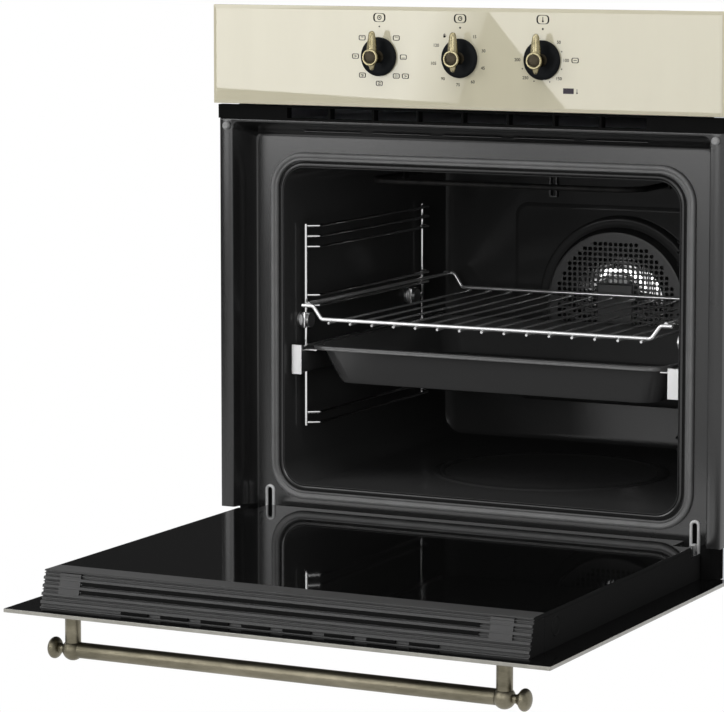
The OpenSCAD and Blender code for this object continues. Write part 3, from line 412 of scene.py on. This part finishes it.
def block(bm, low, high, edge, segments=2):
    """A box between two corners with eased edges."""
    low, high = Vector(low), Vector(high)
    place = Matrix.Translation((low + high) / 2) @ Matrix.Diagonal((*(high - low), 1))
    verts = bmesh.ops.create_cube(bm, size=1, matrix=place)["verts"]
    if edge:
        bmesh.ops.bevel(bm, geom=edges_of(verts), offset=edge, segments=segments, profile=0.5,
                        affect="EDGES", material=-1)


# enamelled front frame: flanges, tapered recess, door seat and the edge rolled into the cavity's mouth

def seat_frame():
    bm = bmesh.new()
    recess = [(294.5, 44, 475, 0.6, 21), (294.5, 44, 475, 0.6, 9.4), (294.2, 44, 474.7, 0.6, 8.5),
              (293.4, 44, 473.9, 0.6, 8.2), (280.2, 44, 472.7, 7.5, 8.2), (279.0, 44, 471.5, 8.0, 8.6),
              (278.3, 44, 470.7, 8.2, 9.8),
              (272.0, 44, 461.9, 7.0, 31.5), (272.0, 1, 461.9, 7.0, 31.6), (268.9, 1, 457.3, 6.3, 42.6),
              (268.3, 1, 456.5, 6.1, 44.1), (267.0, 1, 455.0, 5.8, 45)]
    skin(bm, [outline(bm, w, low, top, r, y, feet=True) for w, low, top, r, y in recess])
    lip = [(242.2, 45), (241.2, 45), (239.8, 44.6), (238.8, 43.4), (237.6, 42.2), (236.2, 41.9), (235.0, 42.4),
           (234.4, 43.4), (234.3, 46)]
    skin(bm, [outline(bm, w, 268 - w, w + 188, r, 45) for w, r in ((267.0, 5.8), (265.8, 6.0))]
         + [outline(bm, w, 302.4 - w, w + 187.6, w - 208, y) for w, y in lip])
    piece("seat_frame", bm, frame_enamel, "oven", "front_frame", 30, 1.0)


seat_frame()


# door gasket: soft crown outside, thin lip inside

def door_seal():
    bm = bmesh.new()
    section = [(250.0, 45), (250.1, 43.0), (249.4, 41.4), (248.0, 40.65), (246.0, 40.7), (244.9, 41.6), (244.3, 42.9),
               (243.4, 43.0), (242.7, 42.2), (241.9, 42.0), (241.2, 42.8), (241.0, 45)]
    loops = [outline(bm, w, 302.9 - w, w + 187.1, w - 210, y, segments=12) for w, y in section]
    skin(bm, loops + loops[:1])
    piece("door_seal", bm, grey_silicone, "oven", "door_gasket", 60)


door_seal()


# cavity shell with its rolled mouth, floor emboss and raised rear panel

def round_row(bm, radius, y, steps=96):
    """Edges of a circle round the fan's axis."""
    return edges_of(round_loop(bm, radius, (0, y, FAN_Z), steps))


def cavity_shell():
    bm = bmesh.new()
    inner = [(233.6, 41.9), (233.15, 42.2), (233.0, 43.0), (233.0, 449.0), (231.2, 453.2), (227.0, 455.0)]
    outer = [(234.1, 42.2), (234.2, 43.0), (234.2, 456.2)]
    loops = [outline(bm, w, 302.4 - w, w + 187.6, w - 208, y) for w, y in inner[::-1]]
    cap(bm, loops[0])
    loops += [outline(bm, w, 302.4 - w, w + 187.6, w - 208, y) for w, y in outer]
    skin(bm, loops)
    cap(bm, loops[-1])
    piece("cavity_shell", bm, cavity_enamel, "oven", "cavity", 40)
    bm = bmesh.new()
    lathe(bm, [(69.2, 134.6), (70.7, 131.6), (70.9, 130.6), (70.9, 123.6), (70.7, 122.6), (69.2, 119.6)],
          (0, 245, 0), (0, 0, 1), 96)
    piece("floor_emboss", bm, cavity_enamel, "oven", "", 50)
    bm = bmesh.new()
    step = [(139.5, 118.5, 355, 17, 454.9), (135, 123, 350.5, 14, 453.5), (134, 124, 349.5, 13, 453.5)]
    collar = [(105.5, 453.5), (103.8, 453.5), (102.4, 443.6), (101.7, 442.2), (100.6, 441.6), (99.6, 441.5),
              (92, 441.5), (90.6, 442), (90.4, 444)]
    skin(bm, [outline(bm, *row) for row in step] + [round_row(bm, r, y, 72) for r, y in collar])
    piece("rear_panel", bm, cavity_enamel, "oven", "", 40)


cavity_shell()


# perforated fan cover with its pressed middle, and the bright face of the impeller behind it

def perforated_cover():
    bm = bmesh.new()
    wide, tall, count = 6.46, 6.17, 25
    face_y = 430
    place = facing(0, face_y, 237.5) @ Matrix.Diagonal((count * wide, count * tall, 1, 1))
    bmesh.ops.create_grid(bm, x_segments=count, y_segments=count, size=0.5, matrix=place)
    reach = {f: Vector((f.calc_center_median().x, f.calc_center_median().z - FAN_Z)) for f in bm.faces}
    bmesh.ops.delete(bm, geom=[f for f, c in reach.items() if c.length > 77.5], context="FACES")
    stair = [e for e in bm.edges if e.is_boundary]
    blank = [f for f, c in reach.items() if f.is_valid and abs(c.x) < 23 and abs(c.y) < 23]
    holes = [f for f, c in reach.items() if f.is_valid and c.length < 76.3 and f not in blank]
    rim = round_row(bm, 82.6, face_y)
    bmesh.ops.triangle_fill(bm, use_beauty=True, edges=stair + rim, normal=(0, -1, 0))
    bmesh.ops.inset_region(bm, faces=blank, thickness=1.6)
    bmesh.ops.translate(bm, vec=(0, -1.2, 0), verts=list({v for f in blank for v in f.verts}))
    bmesh.ops.inset_individual(bm, faces=holes, thickness=1.2)
    corners = list({v for f in holes for v in f.verts})
    bmesh.ops.bevel(bm, geom=corners, offset=1.05, segments=1, affect="VERTICES", material=-1)
    bmesh.ops.delete(bm, geom=[f for f in bm.faces if len(f.verts) == 8], context="FACES_ONLY")
    middle = Vector((0, face_y, FAN_Z))
    rim = [e for e in bm.edges if e.is_boundary and min((v.co - middle).length for v in e.verts) > 82.5]
    skirt = [(84.6, face_y), (85.7, 430.25), (86.6, 431.3), (92.4, 453.0), (93.5, 453.9), (97.1, 453.9), (97.5, 454.5)]
    skin(bm, [rim] + [round_row(bm, r, y) for r, y in skirt])
    piece("perforated_cover", bm, cover_enamel, "oven", "fan_cover", 30, 0.8)
    bm = bmesh.new()
    lathe(bm, [(0, 33), (1, 33.4), (1, 57.4), (0.6, 57.9), (0, 57.9), (0, 33)], (0, 438.9, FAN_Z), (0, -1, 0), 72)
    piece("impeller_face", bm, polished_steel, "fan", "", 40)


perforated_cover()


# clip that holds the grill tube under the ceiling

def grill_clip():
    bm = bmesh.new()
    for x in (-4.6, 3.0):
        block(bm, (x, 246, 382), (x + 1.6, 254, 420.4), 0.4)
    block(bm, (-4.6, 246, 381), (4.6, 254, 382.6), 0.4)
    piece("grill_clip", bm, cover_enamel, "oven", "", 40)


grill_clip()


# racks, their rungs and bolt plates

def side_rack(side, name):
    bm = bmesh.new()
    for y in (80, 377):
        wire(bm, [(side * RACK_X, y, 129.5), (side * RACK_X, y, 355)], 4.4)
    for z in (132.5, 144.1, 263.9, 275.5, 329.6, 341.2, 352.8):
        wire(bm, [(side * RACK_X, 80, z), (side * 213, 90, z), (side * 213, 367, z), (side * RACK_X, 377, z)], 3.4, 5)
    for y, foot in ((81, 80), (351, 377)):
        block(bm, (side * 224.5, y - 5.5, 239), (side * 230, y + 5.5, 257), 0.8)
        wire(bm, [(side * RACK_X, y, 248), (side * RACK_X, foot, 248)], 4)
    piece(name + "_wires", bm, chrome, "oven", name, 50)


side_rack(-1, "rack_left")
side_rack(1, "rack_right")


# wire shelf

def oven_shelf():
    bm = bmesh.new()
    for y, ear in ((59, 266.65), (424, 268.65)):
        wire(bm, [(-219.2, y, ear), (-206, y, ear), (-195.5, y, 252.35),
                  (195.5, y, 252.35), (206, y, ear), (219.2, y, ear)], 4.6, 5)
    for side in SIDES:
        wire(bm, [(side * 212, 59, 268.65), (side * 212, 424, 268.65)], 4.5)
    for i in range(15):
        x = (i / 14 - 0.5) * 2 * 185.2
        wire(bm, [(x, 56, 248.75), (x, 427, 248.75)], 3, sides=10)
    piece("shelf_wires", bm, shelf_chrome_painted_sheen, "shelf", "wire_shelf", 50)


oven_shelf()


# baking tray with its folded rim and sloped walls

def enamelled_tray():
    bm = bmesh.new()
    rows = [(213, 55.7, 401.7, 24, 218.2), (213, 55.7, 401.7, 24, 221.2), (212.4, 56.3, 401.1, 23.4, 222.2),
            (211.2, 57.5, 399.9, 22.2, 222.4), (206.0, 63.7, 393.7, 20.5, 222.4), (204.6, 65.1, 392.3, 20, 221.6),
            (203.8, 65.9, 391.5, 20, 220.0),
            (191.4, 79.4, 378.0, 22, 185.0), (188.8, 82.0, 375.4, 20, 181.0), (184.0, 86.8, 370.6, 18, 179.6)]
    loops = [outline(bm, w, front, back, r, z, plan=True) for w, front, back, r, z in rows]
    skin(bm, loops)
    cap(bm, loops[-1])
    piece("tray_sheet", bm, tray_enamel, "tray", "baking_tray", 40, 1.0)


enamelled_tray()


# outer door glass with ground edges

def outer_glass():
    bm = bmesh.new()
    block(bm, (-297.5, -434, 4.7), (297.5, 30, 8.7), 0.7, 2)
    piece("outer_glass", bm, (door_glass, glass_edge), "door", "door_glass_outer", 20,
          edge_faces=lambda f: abs(f.normal.z) < 0.9)


outer_glass()


# inner door glass and the round plugs in the door's side walls

def inner_door():
    bm = bmesh.new()
    corners = [(-267, -399), (267, -399), (267, -3), (246.5, -3), (246.5, 29.2),
               (-246.5, 29.2), (-246.5, -3), (-267, -3)]
    pane = bm.faces.new([bm.verts.new((x, y, 42)) for x, y in corners])
    thick = bmesh.ops.extrude_face_region(bm, geom=[pane])["geom"]
    bmesh.ops.translate(bm, vec=(0, 0, 4), verts=[v for v in thick if isinstance(v, bmesh.types.BMVert)])
    bmesh.ops.bevel(bm, geom=bm.edges[:], offset=0.5, segments=2, profile=0.5, affect="EDGES", material=-1)
    piece("inner_glass", bm, (door_glass, door_steel), "door", "door_glass_inner", 20,
          edge_faces=lambda f: abs(f.normal.z) < 0.9)
    bm = bmesh.new()
    for side in SIDES:
        lathe(bm, [(266.4, 0), (267.5, 0), (267.6, 6.2), (267.2, 7.4), (267.2, 8.2), (267.8, 8.9), (267.8, 9.6),
                   (267.2, 10.2), (266.4, 10.2)], (0, -352, 29.3), (side, 0, 0), 48)
    piece("side_plugs", bm, door_steel, "door", "", 30)


inner_door()


# ribbed rail along the door's open end, with its smooth patches, open rows and air slots, and dark blocks of painted
# shade inside the rows and slots

def ribbed_rail():
    bm = bmesh.new()

    def face(z, back=0.0):
        """A point on the rail's sloped front at a height, or some way behind it."""
        return (-RAIL_X, -404 - 11 * (46 - z) / 37.3 + back, z)

    lip = ((-378.4, 8.9), (-378.4, 41.8), (-399.2, 41.8), (-399.2, 45.7), (-399.5, 46), (-403.3, 46))
    section = [(-RAIL_X, y, z) for y, z in lip]
    section += [face(45.4), face(44.6, 0.2), face(44.4, 3)]
    for top in (39.6, 31.8, 24.0):
        section += [face(top + 3.2, 3), face(top + 3.1, 1), face(top + 2.3, 0.8), face(top + 2.2, 3), face(top + 0.1, 3),
                    face(top, 0.4), face(top - 0.4), face(top - 2.5), face(top - 2.9, 0.4), face(top - 3, 3)]
    section += [face(19.4, 3), face(19.3, 1), face(18.5, 0.8), face(18.4, 3), face(16.3, 3), face(16.2, 0.4),
                face(15.8), face(13.4), face(13.1, 0.4), face(13, 3), face(9.9, 3), face(9.7, 0.3), face(8.9, 0.3)]
    verts = [bm.verts.new(place) for place in section]
    edges = [bm.edges.new(pair) for pair in zip(verts, verts[1:] + verts[:1])]
    cap(bm, edges)
    cap(bm, pull(bm, edges, (2 * RAIL_X, 0, 0)))
    for side in SIDES:
        patch = [bm.verts.new((side * 224, face(z, back)[1], z))
                 for z, back in ((43.8, -0.1), (41.4, -0.1), (41.0, 0.2), (21.6, 0.2), (21.6, 4), (43.8, 4))]
        edges = [bm.edges.new(pair) for pair in zip(patch, patch[1:] + patch[:1])]
        cap(bm, edges)
        cap(bm, pull(bm, edges, (side * 24, 0, 0)))
    piece("ribbed_rail", bm, (rail_plastic, door_steel), "door", "door_vent_rail", 30,
          edge_faces=lambda f: abs(f.normal.x) > 0.9)
    # dark blocks in the open rows and air slots: painted shade inside the openings
    bm = bmesh.new()
    for low in (33.0, 25.2):
        block(bm, (-222, face(low)[1] + 0.9, low), (213, face(low)[1] + 3.6, low + 3.4), 0.2)
    for i in range(8):
        x = (i - 3.5) * 45.2
        block(bm, (x - 15.3, face(10)[1] + 0.5, 10.2), (x + 15.3, face(10)[1] + 3.4, 12.9), 0.2)
    piece("rail_slot_shade", bm, painted_slot_shade, "door", "", 30)
    bm = bmesh.new()
    block(bm, (-266.2, -403.6, 45.9), (266.2, -377, 46.06), 0.05, 1)
    piece("rail_band", bm, rail_plastic, "door", "", 30)


ribbed_rail()


# handle: turned posts and a bar with balls and end knobs

def door_handle():
    bm = bmesh.new()
    for side in SIDES:
        foot = (side * HANDLE_X, HANDLE_Y, 0)
        lathe(bm, [(HANDLE_Z, 0), (HANDLE_Z, 8), (-1.5, 8), (-0.8, 8.5), (0.6, 8.8), (2.2, 8.9), (4.7, 8.9), (4.7, 0)],
              foot, (0, 0, 1), 40)
        lathe(bm, [(8.7, 0), (8.7, 4.5), (10.4, 4.5), (10.7, 4.2), (10.7, 0)], foot, (0, 0, 1), 24)
    piece("turned_posts", bm, aged_bronze, "door", "handle_posts", 40)
    bm = bmesh.new()
    half = [(200, 8), (228.5, 8)]
    half += [(HANDLE_X + 11 * sin(a), 11 * cos(a)) for a in [radians(d) for d in range(-46, 71, 8)]]
    half += [(247.4, 4.4), (249.6, 4.4), (250.6, 5.6)]
    half += [(257.4 + 6.5 * sin(a), 11 * cos(a)) for a in [radians(d) for d in range(-64, 91, 11)]] + [(263.9, 0)]
    lathe(bm, [(-a, r) for a, r in half[::-1]] + half, (0, HANDLE_Y, HANDLE_Z), (1, 0, 0), 40)
    piece("turned_bar", bm, aged_bronze, "door", "handle_bar", 40)


door_handle()


# knobs: black disc, turned brass hub with a dark button, and a teardrop lever

def knob(name, x):
    centre, out = (x, 0, KNOB_Z), (0, -1, 0)
    lever_y = -18.2
    bm = bmesh.new()
    lathe(bm, [(0.4, 0), (0.4, 19.6), (0.9, 20.5), (1.4, 20.75), (2.6, 20.75), (3.2, 20.4), (3.6, 19.6), (3.85, 17.4),
               (3.9, 16.6), (3.9, 0)], centre, out, 72)
    piece("knob_disc_" + name, bm, disc_black, "knob_" + name, "disc_" + name, 35)
    bm = bmesh.new()
    lathe(bm, [(12.0, 0), (12.0, 5.0), (15.6, 6.2), (18.0, 7.2), (20.0, 8.3), (21.4, 8.9), (22.6, 9.0), (23.4, 8.8),
               (24.0, 8.2), (24.0, 7.3), (23.7, 6.9), (22.8, 6.7), (22.6, 0)], centre, out, 56)
    shank = [(-14, 0), (-13.6, 1.4), (-12.6, 2.2), (-10.6, 2.9), (-7, 3.9), (0, 5.0), (6, 5.6), (10, 5.5), (14, 5.1),
             (18, 4.6), (22, 4.0), (25, 3.5), (26.8, 2.8), (27.7, 1.6), (28, 0)]
    before = set(bm.verts)
    lathe(bm, shank, (x, lever_y, KNOB_Z), (0, 0, 1), 32)
    bmesh.ops.scale(bm, vec=(1, 0.8, 1), space=Matrix.Translation((-x, -lever_y, -KNOB_Z)),
                    verts=[v for v in bm.verts if v not in before])
    piece("knob_lever_" + name, bm, aged_brass, "knob_" + name, "lever_" + name, 35)
    bm = bmesh.new()
    lathe(bm, [(22.6, 6.65), (23.3, 6.5), (23.7, 5.8), (23.9, 3.4), (24.0, 0)], centre, out, 40)
    lathe(bm, [(3.9, 0), (3.9, 6.6), (4.4, 6.8), (5.2, 6.4), (6.4, 5.6), (8.4, 5.0), (12.2, 5.0), (12.4, 0)],
          centre, out, 40)
    piece("knob_button_" + name, bm, button_bronze, "knob_" + name, "", 35)


for name, x in (("left", -KNOB_STEP), ("middle", 0), ("right", KNOB_STEP)):
    knob(name, x)


# control panel glass with its ground border, and the pilot window

def panel_glass():
    bm = bmesh.new()
    loops = [outline(bm, w, 491.6 + 297.5 - w, 599 - 297.5 + w, 0.6, y, segments=3)
             for w, y in ((293.5, 0), (293.8, 0.02), (297.2, 0.9), (297.5, 1.2), (297.5, 5))]
    skin(bm, loops)
    cap(bm, loops[0])
    cap(bm, loops[-1])
    piece("panel_glass", bm, cream_glass, "oven", "control_panel", 12)
    bm = bmesh.new()
    block(bm, (118.3, -0.15, 511.2), (130.5, 1, 517.1), 0.3)
    piece("pilot_pane", bm, pilot_window, "oven", "pilot_lens", 20)


panel_glass()


# casing: folded rim of the back, pressed beads of the sides, and the screws

def casing():
    bm = bmesh.new()
    skin(bm, [outline(bm, w, 286 - h, 286 + h, r, y, segments=4)
              for w, h, r, y in ((277.6, 285.6, 2, 545), (277.2, 285.2, 2, BACK_Y),
                                 (264, 272, 3, BACK_Y), (263.6, 271.6, 3, 545))])
    for side in SIDES:
        for z in (170, 400):
            bead = [outline(bm, 180 - d, z - 9 + d, z + 9 - d, 9 - d, -CASING_X - h, middle=side * 283, segments=8)
                    for d, h in ((0, -0.3), (0.8, 0.2), (2.6, 1.7), (3.6, 2.1), (4.6, 2.2))]
            cap(bm, bead[-1])
            skin(bm, bead)
            turned = {v for loop in bead for e in loop for v in e.verts}
            bmesh.ops.rotate(bm, cent=(0, 0, 0), matrix=Matrix.Rotation(side * pi / 2, 3, "Z"), verts=list(turned))
    piece("casing_folds", bm, zinc_sheet, "oven", "", 40)
    bm = bmesh.new()
    spots = [((side * CASING_X, y, z), (side, 0, 0)) for side in SIDES for y in (84, 534) for z in (30, 285, 548)]
    spots += [((x, BACK_Y, z), (0, 1, 0)) for x in (-270.6, 0, 270.6) for z in (7, 565)]
    spots += [((side * 270.6, BACK_Y, 286), (0, 1, 0)) for side in SIDES]
    spots += [((side * 262, y, 572), (0, 0, 1)) for side in SIDES for y in (60, 524)]
    for spot, way in spots:
        lathe(bm, [(-0.2, 0), (-0.2, 4.6), (0.5, 4.6), (0.8, 4.2), (0.8, 0)], spot, way, 24)
        lathe(bm, [(0.7, 0), (0.7, 3.5), (2.7, 3.5), (3.2, 3.0), (3.2, 1.9), (2.6, 1.6), (2.6, 0)], spot, way, 6)
    piece("casing_screws", bm, satin_steel, "oven", "", 30)


casing()


# printed marks on the panel: plain numbers, dots and plain outlines

def print_marks():
    bm = bmesh.new()

    def number(text, x, z, size):
        curve = bpy.data.curves.new("number", "FONT")
        curve.body = text
        curve.size = size
        curve.align_x = "CENTER"
        curve.align_y = "CENTER"
        curve.resolution_u = 3
        curve.offset = 0.07
        obj = bpy.data.objects.new("number", curve)
        mesh = bpy.data.meshes.new_from_object(obj)
        mesh.transform(facing(x, PRINT_Y, z))
        bm.from_mesh(mesh)
        bpy.data.objects.remove(obj)
        bpy.data.meshes.remove(mesh)

    def dot(x, z, r):
        bmesh.ops.create_circle(bm, cap_ends=True, segments=16, radius=r, matrix=facing(x, PRINT_Y, z))

    def bar(x, z, w, h, tilt=0.0):
        place = Matrix.Translation((x, PRINT_Y, z)) @ Matrix.Rotation(tilt, 4, "Y") @ facing(0, 0, 0)
        bmesh.ops.create_grid(bm, x_segments=1, y_segments=1, size=0.5, matrix=place @ Matrix.Diagonal((w, h, 1, 1)))

    def oven_icon(x, z, marks=(), w=4.1, h=2.75, round_by=1.7, side=1.05, edge=0.62):
        skin(bm, [outline(bm, w, z - h, z + h, round_by, PRINT_Y, middle=x, segments=4),
                  outline(bm, w - side, z - h + edge, z + h - edge, round_by - 0.45, PRINT_Y, middle=x, segments=4)])
        for kind, dz in marks:
            if kind == "bar":
                bar(x, z + dz, 3.8, 0.6)
            if kind == "zigzag":
                for k in (-1.2, -0.4, 0.4, 1.2):
                    bar(x + k, z + dz, 0.5, 1.2, 0.5 if k in (-1.2, 0.4) else -0.5)
            if kind == "fan":
                dot(x, z + dz, 0.5)
                for a in range(3):
                    dot(x + 1.1 * cos(a * 2.1), z + dz + 1.1 * sin(a * 2.1), 0.55)

    def ring(x, z, outer, inner):
        skin(bm, [edges_of(round_loop(bm, r, (x, PRINT_Y, z), 24)) for r in (outer, inner)])

    minutes = [("120", -28, 558.9), ("105", -31.1, 539.8), ("90", -19.9, 523.8), ("75", -2.2, 517.8),
               ("60", 14.9, 521.2), ("45", 26.6, 535.9), ("30", 27.2, 554), ("15", 16.7, 568.7)]
    degrees = [("50", 113.3, 564.5), ("100", 121.4, 545.8), ("150", 113.5, 526.7), ("250", 75.5, 526.9),
               ("200", 66.2, 545.5)]
    for text, x, z in minutes + degrees:
        number(text, x, z, 4.6)
    for x, z in ((0, 578), (KNOB_STEP, 578.1)):
        dot(x, z, 1.1)
    for x, z in ((116.6, 555), (116.6, 536.7), (103.2, 523.3), (85.3, 523.7), (72, 536.4)):
        dot(x, z, 0.7)
    functions = [(314, [("zigzag", 0.9)]), (270, [("fan", 0)]), (225, [("zigzag", 1.0), ("fan", -0.8)]),
                 (180, [("bar", -1.1), ("fan", 0.7)]), (135, [("bar", 1.0), ("bar", -1.0)]),
                 (90, [("bar", -1.0)]), (45, [("bar", 1.0)])]
    for angle, marks in functions:
        a = radians(90 - angle)
        oven_icon(-KNOB_STEP + 28.5 * cos(a), KNOB_Z + 28.5 * sin(a), marks)
    for x, z in ((-KNOB_STEP, 587.4), (0, 587.6), (KNOB_STEP, 587.9)):
        oven_icon(x, z, [], 7.3, 4.7, 3.6, 1.7, 0.5)
    for x, z in ((-KNOB_STEP, 587.4), (0, 587.6)):
        ring(x, z, 2.6, 1.7)
    dot(-KNOB_STEP, 587.4, 0.8)
    bar(0, 588.3, 0.5, 1.7)
    bar(0.8, 587.6, 1.7, 0.5)
    bar(KNOB_STEP, 588.6, 0.9, 4.2)
    dot(KNOB_STEP, 586.1, 1.1)
    oven_icon(131.8, 546.1, [("bar", 0)])
    oven_icon(-64, 525.6, [("fan", 0)])
    bar(-18.3, 568.4, 2.3, 2.0)
    for k, height in enumerate((1.6, 2.2, 2.2, 1.7)):
        bar(-19.25 + 0.63 * k, 569.4 + height / 2, 0.42, height)
    bar(-16.7, 568.9, 0.45, 1.8, 0.6)
    dot(-KNOB_STEP, 577.9, 0.9)
    bar(134.1, 514.3, 0.6, 4)
    dot(134.1, 512.2, 0.9)
    piece("panel_print", bm, print_ink, "oven", "", 20)


print_marks()


# louvres in the recess's top wall: black plates of painted shade where the slots open, under pressed lips

def louvres():
    bm = bmesh.new()
    lips = bmesh.new()
    lean = Matrix.Translation((0, 33, 460.6)) @ Matrix.Rotation(-0.3869, 4, "X")
    for i in range(5):
        x = (i - 2) * 83.4
        loop = outline(bm, 34, -1.6, 1.6, 1.55, -0.25, middle=x, plan=True, segments=6)
        cap(bm, loop)
        bmesh.ops.transform(bm, matrix=lean, verts=list({v for e in loop for v in e.verts}))
        before = set(lips.verts)
        wire(lips, [(x - 34.5, -2.4, -0.2), (x + 34.5, -2.4, -0.2)], 1.5, sides=10)
        bmesh.ops.transform(lips, matrix=lean, verts=[v for v in lips.verts if v not in before])
    piece("louvre_slot_shade", bm, painted_hollow_shade, "oven", "", 20)
    piece("louvre_lips", lips, frame_enamel, "oven", "", 50)


louvres()


# rims of the hinge slots and tips of the hinge arms, pale with painted reflection, black caps of painted shade inside
# the slots, and black blocks at the lower corners

def hinge_slots():
    bm = bmesh.new()
    dark = bmesh.new()
    tips = bmesh.new()
    dark_blocks = bmesh.new()
    for side in SIDES:
        rows = [(6.0, 45), (5.8, 43.7), (5.0, 43.0), (3.7, 42.9), (2.9, 43.4), (2.6, 44.9)]
        skin(bm, [outline(bm, w, 44.7 - 15.4 - w, 44.7 + 15.4 + w, w - 0.02, y, middle=side * HINGE_X, segments=6)
                  for w, y in rows])
        # black cap in each slot: painted shade in its hollow
        cap(dark, outline(dark, 2.7, 26.7, 62.7, 2.65, 44.75, middle=side * HINGE_X, segments=6))
        block(tips, (side * 249.9, 37.5, 32.6), (side * 255.1, 46, 41.0), 1.2)
        # black block at each lower corner, where the casing's zinc would show
        block(dark_blocks, (side * 268.4, 21.4, 3.6), (side * 278.5, 60, 43.9), 0.6)
    # pale rims and tips: painted reflection on shiny metal
    piece("slot_rims", bm, pale_painted_sheen, "oven", "", 40)
    piece("slot_hollow_shade", dark, painted_hollow_shade, "oven", "", 20)
    piece("arm_tips", tips, pale_painted_sheen, "oven", "", 40)
    piece("dark_corner_blocks", dark_blocks, black_plastic, "oven", "", 40)


hinge_slots()


# room: floor, backdrop and light, in metres

FLOOR_Z = -0.06


def show_white(tree, shader, output, white):
    """Plain white for the camera and for mirrors, the lit shade for the rest."""
    path = tree.nodes.new("ShaderNodeLightPath")
    seen = path.outputs["Is Camera Ray"]
    for ray in ("Is Transmission Ray", "Is Glossy Ray"):
        either = tree.nodes.new("ShaderNodeMath")
        either.operation = "MAXIMUM"
        tree.links.new(seen, either.inputs[0])
        tree.links.new(path.outputs[ray], either.inputs[1])
        seen = either.outputs[0]
    mix = tree.nodes.new("ShaderNodeMixShader")
    tree.links.new(seen, mix.inputs["Fac"])
    tree.links.new(shader, mix.inputs[1])
    tree.links.new(white, mix.inputs[2])
    tree.links.new(mix.outputs[0], output)


world = bpy.data.worlds.new("studio")
bpy.context.scene.world = world
world.use_nodes = True
soft = world.node_tree.nodes["Background"]
soft.inputs["Color"].default_value = (1, 1, 1, 1)
soft.inputs["Strength"].default_value = 0.29
plain = world.node_tree.nodes.new("ShaderNodeBackground")
plain.inputs["Color"].default_value = (1, 1, 1, 1)
plain.inputs["Strength"].default_value = 1.0
sky = world.node_tree.nodes["World Output"].inputs["Surface"]
show_white(world.node_tree, soft.outputs[0], sky, plain.outputs[0])

floor_paint = bpy.data.materials.new("studio_floor")
floor_paint.use_nodes = True
paint = floor_paint.node_tree.nodes["Principled BSDF"]
paint.inputs["Base Color"].default_value = (0.8, 0.8, 0.8, 1)
paint.inputs["Roughness"].default_value = 0.8
glow = floor_paint.node_tree.nodes.new("ShaderNodeEmission")
glow.inputs["Strength"].default_value = 1.0
ground = floor_paint.node_tree.nodes["Material Output"].inputs["Surface"]
show_white(floor_paint.node_tree, paint.outputs[0], ground, glow.outputs[0])

bm = bmesh.new()
bmesh.ops.create_grid(bm, x_segments=1, y_segments=1, size=6, matrix=Matrix.Translation((0, 0, FLOOR_Z)))
floor_mesh = bpy.data.meshes.new("studio_floor")
bm.to_mesh(floor_mesh)
bm.free()
floor_mesh.materials.append(floor_paint)
floor = bpy.data.objects.new("studio_floor", floor_mesh)
bpy.context.scene.collection.objects.link(floor)


def softbox(name, place, aim, width, height, power):
    data = bpy.data.lights.new(name, "AREA")
    data.shape = "RECTANGLE"
    data.size, data.size_y, data.energy = width, height, power
    obj = bpy.data.objects.new(name, data)
    bpy.context.scene.collection.objects.link(obj)
    obj.location = place
    obj.rotation_euler = (Vector(aim) - Vector(place)).to_track_quat("-Z", "Y").to_euler()


softbox("softbox_left", (-2.6, -2.6, 2.0), (0, 0, 0.3), 1.6, 2.2, 30)
softbox("softbox_top", (0.3, -1.2, 2.9), (0, -0.1, 0.2), 2.4, 1.8, 21)
softbox("softbox_front", (1.0, -4.2, 1.4), (0, 0.2, 0.3), 1.4, 1.4, 20)


def card(name, corners, dark, light, start, end):
    """A studio card that only mirrors see, from one strength to another along X."""
    mesh = bpy.data.meshes.new(name)
    bm = bmesh.new()
    bm.faces.new([bm.verts.new(c) for c in corners])
    bm.to_mesh(mesh)
    bm.free()
    paper = bpy.data.materials.new(name)
    paper.use_nodes = True
    tree = paper.node_tree
    place = tree.nodes.new("ShaderNodeTexCoord")
    split = tree.nodes.new("ShaderNodeSeparateXYZ")
    spread = tree.nodes.new("ShaderNodeMapRange")
    for key, value in {"From Min": start, "From Max": end, "To Min": dark, "To Max": light}.items():
        spread.inputs[key].default_value = value
    glow = tree.nodes.new("ShaderNodeEmission")
    tree.links.new(place.outputs["Object"], split.inputs["Vector"])
    tree.links.new(split.outputs["X"], spread.inputs["Value"])
    tree.links.new(spread.outputs["Result"], glow.inputs["Strength"])
    tree.links.new(glow.outputs["Emission"], tree.nodes["Material Output"].inputs["Surface"])
    mesh.materials.append(paper)
    obj = bpy.data.objects.new(name, mesh)
    bpy.context.scene.collection.objects.link(obj)
    obj.visible_camera = obj.visible_diffuse = obj.visible_transmission = False
    obj.visible_shadow = obj.visible_volume_scatter = False


CARD_FOOT = -0.058
card("flag_floor", [(-4, -1.2, CARD_FOOT), (-1.0, -1.2, CARD_FOOT), (-1.0, -5, CARD_FOOT), (-4, -5, CARD_FOOT)],
     0.0, 1.0, -1.45, -1.05)
card("flag_front", [(-5, -2.68, CARD_FOOT), (-0.6, -2.68, CARD_FOOT), (-0.6, -2.68, 1.2), (-5, -2.68, 1.2)],
     0.0, 1.0, -1.15, -0.65)
card("flag_back", [(-3, 1.6, CARD_FOOT), (-0.4, 1.6, CARD_FOOT), (-0.4, 1.6, 1.1), (-3, 1.6, 1.1)],
     0.03, 0.03, -1, 1)
card("card_left", [(-2.3, -2.62, 0.24), (-1.2, -2.62, 0.24), (-1.2, -2.62, 0.8), (-2.3, -2.62, 0.8)],
     6.2, 0.0, -1.35, -1.16)
card("card_right", [(-0.914, -2.6, 0.24), (-0.4, -2.6, 0.24), (-0.4, -2.6, 0.8), (-1.323, -2.6, 0.8)],
     4.7, 4.7, -1, 1)

bpy.context.scene.view_settings.view_transform = "Standard"
